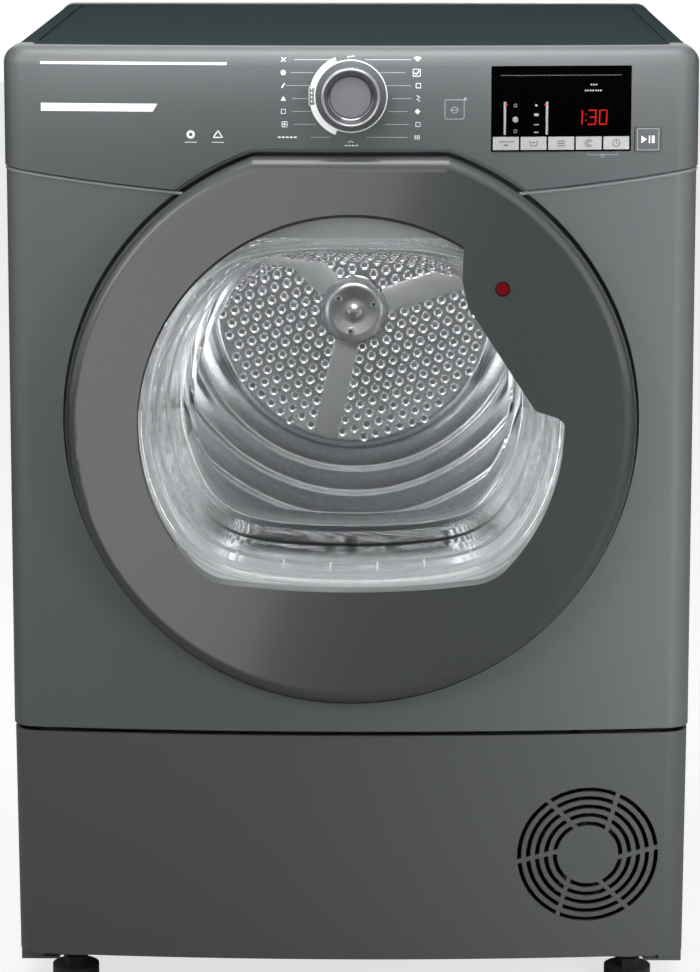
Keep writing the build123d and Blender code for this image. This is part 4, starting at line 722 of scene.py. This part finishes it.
# Selector knob: a dished grey cap in a bright turned ring.
# Both are pressed together on the encoder's spindle, a little clear of the fascia.
knob_grey = finish("knob_grey", (0.132, 0.130, 0.140), (0.158, 0.156, 0.166), (0.3, 0.36), bump=0.03)
ring_chrome = finish(
    "ring_chrome", (0.80, 0.80, 0.815), (0.88, 0.88, 0.895), (0.30, 0.36), bump=0.0, Metallic=1.0
)
# The well between the cap and the ring is a darker metal than the ring: painted shade of the recess.
well_shade_metal = finish(
    "well_shade_metal", (0.30, 0.295, 0.315), (0.36, 0.355, 0.375), (0.16, 0.22), bump=0.0, Metallic=1.0
)
KNOB_BACK_Y = back_face("knob_ring")
dish = np.linspace(0, 1, 12)
cap = np.stack([0.0170 * dish, -0.2934 - 0.0005 * dish**3], axis=-1).tolist()
cap += [
    (0.0174, -0.2938), (0.0176, -0.2932), (0.0176, KNOB_BACK_Y), (0.0065, KNOB_BACK_Y), (0.0065, -0.2650),
    (0.0031, -0.2650), (0.0031, -0.2926), (0, -0.2926),
]
knob_cap = put_piece("knob_cap", *spun(cap, 72, 0, KNOB_Z), knob_grey, "knob", "knob_grey")
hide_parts("selector_knob")
well = [
    (0.01765, KNOB_BACK_Y), (0.01765, -0.2930), (0.0180, -0.2932), (0.0190, -0.2938), (0.0212, -0.2966),
    (0.0223, -0.2986), (0.0226, -0.2984), (0.0226, KNOB_BACK_Y), (0.01765, KNOB_BACK_Y),
]
put_piece("knob_well", *spun(well, 72, 0, KNOB_Z), well_shade_metal, "knob", "chrome", sharp=50.0)
band = [
    (0.02262, KNOB_BACK_Y), (0.02262, -0.2986), (0.0228, -0.2994), (0.0234, -0.3000), (0.0240, -0.3000),
    (0.0246, -0.2994), (0.0249, -0.2980), (0.0250, -0.2950), (0.0250, KNOB_BACK_Y), (0.02262, KNOB_BACK_Y),
]
knob_band = put_piece("knob_band", *spun(band, 72, 0, KNOB_Z), ring_chrome, "knob", "chrome", sharp=50.0)
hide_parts("knob_ring")


# Door: a flat painted ring with the grip in its opening, a grey back cover, and a clear bowl.
# The ring hangs on a hidden steel hinge at the left, and a hook at the right enters the latch.
ring_paint = finish(
    "ring_paint", (0.030, 0.0335, 0.035), (0.036, 0.0395, 0.041), (0.28, 0.30),
    grain=(2600, 160, 6), bump=0.03, dust=0.04, Coat_Weight=0.6, Coat_Roughness=0.13,
)
frame_plastic = finish("frame_plastic", (0.085, 0.090, 0.092), (0.11, 0.115, 0.118), (0.4, 0.5), bump=0.06)
lens_red = finish(
    "lens_red", (0.105, 0.001, 0.002), (0.14, 0.002, 0.003), (0.12, 0.18), bump=0.0, Specular_IOR_Level=0.3
)
lens_edge = finish("lens_edge", (0.018, 0.001, 0.001), (0.026, 0.001, 0.002), (0.2, 0.3), bump=0.0)
hinge_steel = finish("hinge_steel", (0.34, 0.35, 0.36), (0.46, 0.47, 0.48), (0.3, 0.45), Metallic=0.95)
dress(ring_paint, "door_front_ring")
dress(frame_plastic, "door_inner_frame", "latch_hook")
dress(lens_red, "level_lens")
dress(hinge_steel, "hinge_bracket", "hinge_pin", "hinge_leaf", "door_screws")
LENS_X, LENS_Z = 0.1294, 0.6464
rim = [
    (0.0047, -0.2990), (0.0047, -0.2998), (0.0050, -0.3000), (0.0063, -0.3000), (0.0066, -0.2997),
    (0.0066, -0.2990), (0.0047, -0.2990),
]
put_piece("lens_rim", *spun(rim, 40, LENS_X, LENS_Z), lens_edge, "door", "red_lens")


def painted_bowl_shade():
    """Node group: a mask of painted shade, full on the deep half of the low wall, and part of that on the
    flange above the flat top."""
    tree = bpy.data.node_groups.new("painted_bowl_shade", "ShaderNodeTree")
    tree.interface.new_socket("Place", in_out="INPUT", socket_type="NodeSocketVector")
    tree.interface.new_socket("Shade", in_out="OUTPUT", socket_type="NodeSocketFloat")
    into = tree.nodes.new("NodeGroupInput")
    out = tree.nodes.new("NodeGroupOutput")
    parts = tree.nodes.new("ShaderNodeSeparateXYZ")
    tree.links.new(into.outputs["Place"], parts.inputs[0])
    steps = []
    for axis, start, stop, share in (
        ("Y", -0.236, -0.218, 1.0),
        ("Z", 0.440, 0.405, 1.0),
        ("Y", -0.2700, -0.2760, 0.38),
        ("Z", 0.655, 0.668, 1.0),
    ):
        step = tree.nodes.new("ShaderNodeMapRange")
        for label, value in (("From Min", start), ("From Max", stop), ("To Max", share)):
            step.inputs[label].default_value = value
        tree.links.new(parts.outputs[axis], step.inputs["Value"])
        steps.append(step.outputs["Result"])
    low, flange, most = (tree.nodes.new("ShaderNodeMath") for _ in range(3))
    low.operation = flange.operation = "MULTIPLY"
    most.operation = "MAXIMUM"
    for node, pair in ((low, steps[:2]), (flange, steps[2:]), (most, (low.outputs[0], flange.outputs[0]))):
        tree.links.new(pair[0], node.inputs[0])
        tree.links.new(pair[1], node.inputs[1])
    tree.links.new(most.outputs[0], out.inputs["Shade"])
    return tree


# The bowl's painted shade: a mask and the dark grey that it lays over the bowl's colour.
painted_shade_group = painted_bowl_shade()
PAINTED_SHADE_COLOUR = (0.08, 0.09, 0.095, 1.0)
THROUGH_COLOUR = (0.9, 0.92, 0.92, 1.0)
CLEAR_GRAIN = (200, 35, 12)
CLEAR_SPAN = (0, 1)


def clear_finish(name, colour, rough, clear, painted_shade=False):
    """Clear moulding: a transmitting shader that lets lamp light through to what lies behind it. The bowl's
    own carries painted shade: its colour is darker along its low wall and over its flat top, where dark parts
    lie behind it."""
    made, place, speckle = start_finish(name, CLEAR_GRAIN)
    links, add = made.node_tree.links, made.node_tree.nodes.new
    paint = tinted(made, speckle["Film"], CLEAR_SPAN, [0.97 * c for c in colour], colour)
    if painted_shade:
        mask = add("ShaderNodeGroup")
        mask.node_tree = painted_shade_group
        links.new(place, mask.inputs["Place"])
        paint = overlaid(made, paint, mask.outputs["Shade"], PAINTED_SHADE_COLOUR)
    shader = end_finish(made, paint, speckle, CLEAR_SPAN, rough, bump=0.05)
    shader.inputs["Transmission Weight"].default_value = clear
    shader.inputs["IOR"].default_value = 1.46
    ray = add("ShaderNodeLightPath")
    through = add("ShaderNodeBsdfTransparent")
    through.inputs["Color"].default_value = THROUGH_COLOUR
    either = add("ShaderNodeMixShader")
    links.new(ray.outputs["Is Shadow Ray"], either.inputs[0])
    links.new(shader.outputs[0], either.inputs[1])
    links.new(through.outputs[0], either.inputs[2])
    links.new(either.outputs[0], made.node_tree.nodes["Material Output"].inputs["Surface"])
    return made


DOOR_Z = middle("door_bowl")[2]
BOWL_CIRCLE, BOWL_TOP, BOWL_LOW = 0.186, 0.159, 0.147
TOP_DRAW, LOW_DRAW = 0.72, 0.94
LOW_ARC_RADIUS = 0.85
BLEND_POWER = 14.0
BOWL_COLUMNS = 180
FLANGE_RADIUS = 0.1936
BAR_Y, BAR_DRAWN = -0.2530, 0.0143


def bowl_reach(turn, shrink):
    """Distance from the bowl's middle to its wall at each turn: the least of a circle, a flat top and a wide
    low arc, rounded where they meet by a power mean, with each drawn in by its share of one distance."""
    up = np.sin(turn)
    circle = BOWL_CIRCLE - shrink
    top = (BOWL_TOP - TOP_DRAW * shrink) / np.maximum(up, 1e-6)
    centre = LOW_ARC_RADIUS - (BOWL_LOW - LOW_DRAW * shrink)
    low = up * centre + np.sqrt((up * centre) ** 2 + LOW_ARC_RADIUS**2 - centre**2)
    return (circle**-BLEND_POWER + top**-BLEND_POWER + low**-BLEND_POWER) ** (-1 / BLEND_POWER)


def bowl_loops(depth, drawn, share=1.0):
    """Loops of the bowl's outline at given depths, drawn in and scaled to the middle by given amounts."""
    turn = turns(BOWL_COLUMNS)[None, :]
    reach = bowl_reach(turn, drawn[:, None]) * np.reshape(share, (-1, 1))
    deep = np.broadcast_to(depth[:, None], reach.shape)
    return np.stack([reach * np.cos(turn), deep, DOOR_Z + reach * np.sin(turn)], axis=-1)


def bowl_wall():
    """The wall as a closed ring of loops: from the round flange over the rolled lip, down the inside in two
    shallow steps to the fold, then back up the plain outside to the flange."""
    rows = np.array([
        (-0.2800, 0.0000), (-0.2800, 0.0015), (-0.2796, 0.0036), (-0.2785, 0.0058), (-0.2764, 0.0082),
        (-0.2735, 0.0102), (-0.2695, 0.0117), (-0.2650, 0.0127), (-0.2480, 0.0152), (-0.2463, 0.0156),
        (-0.2447, 0.0169), (-0.2430, 0.0173), (-0.2080, 0.0232), (-0.2063, 0.0236), (-0.2047, 0.0250),
        (-0.2030, 0.0254), (-0.1780, 0.0300), (-0.1715, 0.0316), (-0.1672, 0.0340), (-0.1646, 0.0312),
        (-0.1685, 0.0289), (-0.1750, 0.0272), (-0.2560, 0.0110), (-0.2640, 0.0098), (-0.2690, 0.0084),
        (-0.2728, 0.0062), (-0.2752, 0.0040), (-0.2768, 0.0015), (-0.2770, 0.0000), (-0.2800, 0.0000),
    ])
    points = bowl_loops(*rows.T)
    flange, bowl_middle = [0, -2, -1], np.array([0, 0, DOOR_Z])
    flat = points[flange] - bowl_middle
    flat[..., ::2] *= FLANGE_RADIUS / np.linalg.norm(flat[..., ::2], axis=-1, keepdims=True)
    points[flange] = flat + bowl_middle
    return points.reshape(-1, 3), grid_faces(len(rows), BOWL_COLUMNS)


def bowl_end():
    """The end as a closed lens of loops: from the fold over the inside face to its middle, then back over
    the outside face."""
    rows = np.array([
        (-0.1671, 0.0341, 1), (-0.1644, 0.0375, 1), (-0.1633, 0.0422, 1), (-0.1630, 0.0467, 1),
        (-0.1630, 0.0467, 0.7), (-0.1630, 0.0467, 0.35), (-0.1630, 0.0467, 0), (-0.1602, 0.0439, 0),
        (-0.1602, 0.0439, 0.35), (-0.1602, 0.0439, 0.7), (-0.1602, 0.0439, 1), (-0.1606, 0.0397, 1),
        (-0.1618, 0.0352, 1), (-0.1645, 0.0313, 1), (-0.1671, 0.0341, 1),
    ])
    return bowl_loops(*rows.T).reshape(-1, 3), grid_faces(len(rows), BOWL_COLUMNS)


def bowl_ribs():
    """Six short rounded bars on the bowl's low wall: a long egg, moved to each place on the wall's line."""
    rise = np.radians(np.linspace(-90, 90, 9))[:, None]
    turn = turns(10)[None, :]
    across, along, up = 0.0012 * np.cos(turn), 0.012 * np.sin(rise) + 0 * turn, 0.0011 * np.sin(turn)
    egg = np.stack([across * np.cos(rise), along, up * np.cos(rise)], axis=-1)
    round_low = np.radians(np.linspace(200, 340, 141))
    wall = bowl_reach(round_low, BAR_DRAWN)
    x = np.linspace(-0.100, 0.105, 6)
    z = DOOR_Z + np.interp(x, wall * np.cos(round_low), wall * np.sin(round_low)) + 0.0004
    places = np.stack([x, np.full(len(x), BAR_Y), z], axis=-1)
    return many(egg.reshape(-1, 3), grid_faces(*along.shape), places)


bowl_milky = clear_finish("bowl_milky", (0.95, 0.965, 0.97), (0.02, 0.05), 0.91, painted_shade=True)
# The bowl's ribs are a near-opaque white, not clear like the bowl: painted highlight for the light that their
# clear edges catch.
rib_highlight_white = clear_finish("rib_highlight_white", (0.90, 0.92, 0.93), (0.08, 0.12), 0.15)
bowl_clear = clear_finish("bowl_clear", (0.98, 0.985, 0.985), (0.0, 0.02), 1.0)
bowl = put_piece("bowl_wall", *bowl_wall(), bowl_milky, "door", "clear_plastic", sharp=50.0)
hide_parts("door_bowl")
put_piece("bowl_end", *bowl_end(), bowl_clear, "door", "clear_plastic", sharp=50.0)
put_piece("bowl_ribs", *bowl_ribs(), rib_highlight_white, "door", "clear_plastic", sharp=60.0)
BEAD_REACH, BEAD_Y = 0.1829, -0.2980


def opening_shadow_bead():
    """A round black bead carried along an arc inside the ring's edge, swelling from nothing at both ends and
    thickest at the top: a rubber lip that also serves as painted shadow of the ring's edge on the bowl's
    flange.
    """
    turn = np.radians(np.linspace(40, 216, 120))[:, None]
    loop = turns(10)[None, :]
    size = 0.0004 + 0.0009 * np.clip(np.sin(turn), 0, 1)
    size[[0, -1]] = 0.0
    reach = BEAD_REACH - size + size * np.cos(loop)
    depth = BEAD_Y + size * np.sin(loop)
    points = np.stack([reach * np.cos(turn), depth, DOOR_Z + reach * np.sin(turn)], axis=-1)
    return points.reshape(-1, 3), grid_faces(*reach.shape)


put_piece("opening_shadow_bead", *opening_shadow_bead(), black_rubber, "door", "rubber", sharp=60.0)


# Worktop and the strip along its back edge.
# A dark laminated board with a shallow recess, closed at the back by a pale moulded strip.
worktop_dark = finish(
    "worktop_dark", (0.030, 0.046, 0.048), (0.042, 0.061, 0.063), (0.6, 0.7),
    grain=(1800, 600, 7), bump=0.12, dust=0.01, Specular_IOR_Level=0.0,
)
trim_pale = finish("trim_pale", (0.16, 0.165, 0.17), (0.2, 0.205, 0.21), (0.4, 0.55), bump=0.06)
dress(worktop_dark, "top_panel")
dress(trim_pale, "top_rear_trim")


# Studio: a pale floor that runs off into white, soft boxes, dark flags and the camera.
# The flags stand beside the machine and behind the camera, and only mirrors see them. The lamps round the
# shell, before the door and in the drum each light only the pieces that they are meant for.
floor_mesh = bpy.data.meshes.new("studio_floor")
floor_mesh.from_pydata([(-9, -9, 0), (9, -9, 0), (9, 9, 0), (-9, 9, 0)], [], [(0, 1, 2, 3)])
studio_floor = bpy.data.objects.new("studio_floor", floor_mesh)
bpy.context.scene.collection.objects.link(studio_floor)
floor_pale = finish(
    "floor_pale", (0.40, 0.40, 0.40), (0.43, 0.43, 0.43), (0.8, 0.9),
    grain=(20, 8, 1), bump=0.0, Specular_IOR_Level=0.0,
)
floor_nodes = floor_pale.node_tree
floor_shader = floor_nodes.nodes["Principled BSDF"]
floor_seen = floor_nodes.nodes.new("ShaderNodeLightPath")
floor_glow = floor_nodes.nodes.new("ShaderNodeMath")
floor_glow.operation = "MULTIPLY"
floor_glow.inputs[1].default_value = 0.72
floor_nodes.links.new(floor_seen.outputs["Is Camera Ray"], floor_glow.inputs[0])
floor_nodes.links.new(floor_glow.outputs[0], floor_shader.inputs["Emission Strength"])
floor_mesh.materials.append(floor_pale)
flag_black = finish(
    "flag_black", (0.01, 0.01, 0.01), (0.02, 0.02, 0.02), (0.9, 1.0), grain=(20, 8, 1), Specular_IOR_Level=0.0
)


def flag(name, corners):
    """A dark card between four corners that only mirrored rays meet."""
    mesh = bpy.data.meshes.new(name)
    mesh.from_pydata(corners, [], [(0, 1, 2, 3)])
    mesh.materials.append(flag_black)
    card = bpy.data.objects.new(name, mesh)
    card.visible_camera = card.visible_diffuse = card.visible_shadow = card.visible_transmission = False
    bpy.context.scene.collection.objects.link(card)
    return card


flag("flag_front", [(-4, -6, 0), (4, -6, 0), (4, -6, 4), (-4, -6, 4)])
flag("flag_left", [(-1.4, -0.3, 0), (-1.4, 2.6, 0), (-1.4, 2.6, 2.4), (-1.4, -0.3, 2.4)])
flag("flag_right", [(1.4, -0.3, 0), (1.4, 2.6, 0), (1.4, 2.6, 2.4), (1.4, -0.3, 2.4)])

world = bpy.data.worlds.new("studio_white")
bpy.context.scene.world = world
world.use_nodes = True
sky = world.node_tree
seen = sky.nodes.new("ShaderNodeLightPath")
either = sky.nodes.new("ShaderNodeMath")
either.operation = "MAXIMUM"
sky.links.new(seen.outputs["Is Camera Ray"], either.inputs[0])
sky.links.new(seen.outputs["Is Transmission Ray"], either.inputs[1])
mirrored = sky.nodes.new("ShaderNodeMath")
mirrored.operation = "MAXIMUM"
sky.links.new(either.outputs[0], mirrored.inputs[0])
sky.links.new(seen.outputs["Is Glossy Ray"], mirrored.inputs[1])
level = sky.nodes.new("ShaderNodeMapRange")
level.inputs["To Min"].default_value = 0.26
level.inputs["To Max"].default_value = 1.0
sky.links.new(mirrored.outputs[0], level.inputs["Value"])
sky.links.new(level.outputs["Result"], sky.nodes["Background"].inputs["Strength"])
sky.nodes["Background"].inputs["Color"].default_value = (1.0, 1.0, 1.0, 1.0)


def soft_box(name, place, aim, size, power):
    """A rectangular lamp at one place, turned towards another."""
    lamp = bpy.data.lights.new(name, "AREA")
    lamp.shape = "RECTANGLE"
    lamp.size, lamp.size_y = size
    lamp.energy = power
    holder = bpy.data.objects.new(name, lamp)
    holder.location = place
    direction = [a - p for a, p in zip(aim, place)]
    flat = math.hypot(direction[0], direction[1])
    turn = math.atan2(direction[1], direction[0]) - math.pi / 2
    holder.rotation_euler = (math.atan2(flat, -direction[2]), 0, turn)
    holder.visible_camera = False
    bpy.context.scene.collection.objects.link(holder)
    return holder


def shine_on(lamp, *pieces):
    """Keeps a lamp's light to some pieces, as barn doors would."""
    lit = bpy.data.collections.new(f"lit_by_{lamp.name}")
    for piece in pieces:
        lit.objects.link(piece)
    lamp.light_linking.receiver_collection = lit


soft_box("box_front", (-2.2, -2.6, 1.9), (0, -0.2, 0.5), (1.4, 1.8), 22)
box_left = soft_box("box_left", (-0.65, -1.15, 1.10), (-0.33, -0.27, 0.80), (0.2, 0.8), 1.4)
box_right = soft_box("box_right", (0.75, -1.0, 0.52), (0.37, -0.27, 0.50), (0.2, 1.3), 3.4)
for box in (box_left, box_right):
    box.visible_glossy = False
    box.data.spread = math.radians(70)
soft_box("box_over", (0, -0.6, 3.0), (0, 0, 0.4), (2.0, 1.6), 38)
strip = soft_box("strip_over_fascia", (0, -0.319, 0.865), (0, -0.28, 0.83), (0.62, 0.02), 0.44)
strip.visible_glossy = False
outer_shell = [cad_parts[name] for name in (
    "left_side_panel", "right_side_panel", "back_panel", "rear_duct_cover", "mains_inlet", "base_pan",
    "levelling_feet", "top_rear_trim",
)] + [back_screws]
for name, place, power in (
    ("box_behind", (0.9, 3.0, 1.6), 70),
    ("box_side_left", (-2.8, 1.0, 1.4), 60),
    ("box_side_right", (2.8, 1.0, 1.4), 60),
):
    box = soft_box(name, place, (0, 0, 0.45), (1.4, 1.8), power)
    shine_on(box, *outer_shell)
drum_lamp = soft_box("drum_lamp", (-0.03, -0.02, 0.785), (-0.02, 0.15, 0.542), (0.30, 0.08), 1.2)
drum_lamp.visible_transmission = False
drum_lamp.data.spread = math.radians(85)
shine_on(drum_lamp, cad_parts["drum_lifters"], *drum_pieces)
for side, name in ((-1, "left"), (1, "right")):
    wall_lamp = soft_box(
        f"drum_{name}_wall_lamp", (-side * 0.06, 0.02, 0.60), (side * 0.26, 0.04, 0.50), (0.10, 0.14), 0.5
    )
    wall_lamp.visible_transmission = wall_lamp.visible_glossy = False
    wall_lamp.data.spread = math.radians(75)
    shine_on(wall_lamp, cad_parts["drum_shell"])
    back_x = side * 0.185
    back_lamp = soft_box(
        f"drum_{name}_back_lamp", (back_x, -0.05, 0.49), (back_x, 0.21, 0.49), (0.04, 0.16), 0.034
    )
    back_lamp.visible_transmission = False
    back_lamp.data.spread = math.radians(80)
    shine_on(back_lamp, pressed_back)
for name, x in (("bowl_lamp_left", -0.60), ("bowl_lamp_right", 0.60)):
    lamp = soft_box(name, (x, -0.80, 0.56), (0, -0.22, 0.48), (0.12, 0.5), 4.2)
    shine_on(lamp, bowl)
ring_card = soft_box("card_before_ring", (-0.302, -1.0, 0.5125), (-0.302, 0, 0.5125), (0.6, 1.3), 4.6)
ring_card.rotation_euler = (math.pi / 2, math.radians(17.5), 0)
ring_card.visible_diffuse = False
shine_on(ring_card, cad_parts["door_front_ring"])

lens = bpy.data.cameras.new("camera")
lens.sensor_width = 36.0
lens.lens = 132.1
lens.shift_x = 0.0066
lens.shift_y = -0.165
lens.clip_end = 50.0
camera = bpy.data.objects.new("camera", lens)
camera.location = (0.0225, -3.3, 1.088)
camera.rotation_euler = (math.pi / 2 - 0.1564, 0, 0.0095)
bpy.context.scene.collection.objects.link(camera)
bpy.context.scene.camera = camera
bpy.context.scene.view_settings.view_transform = "Standard"
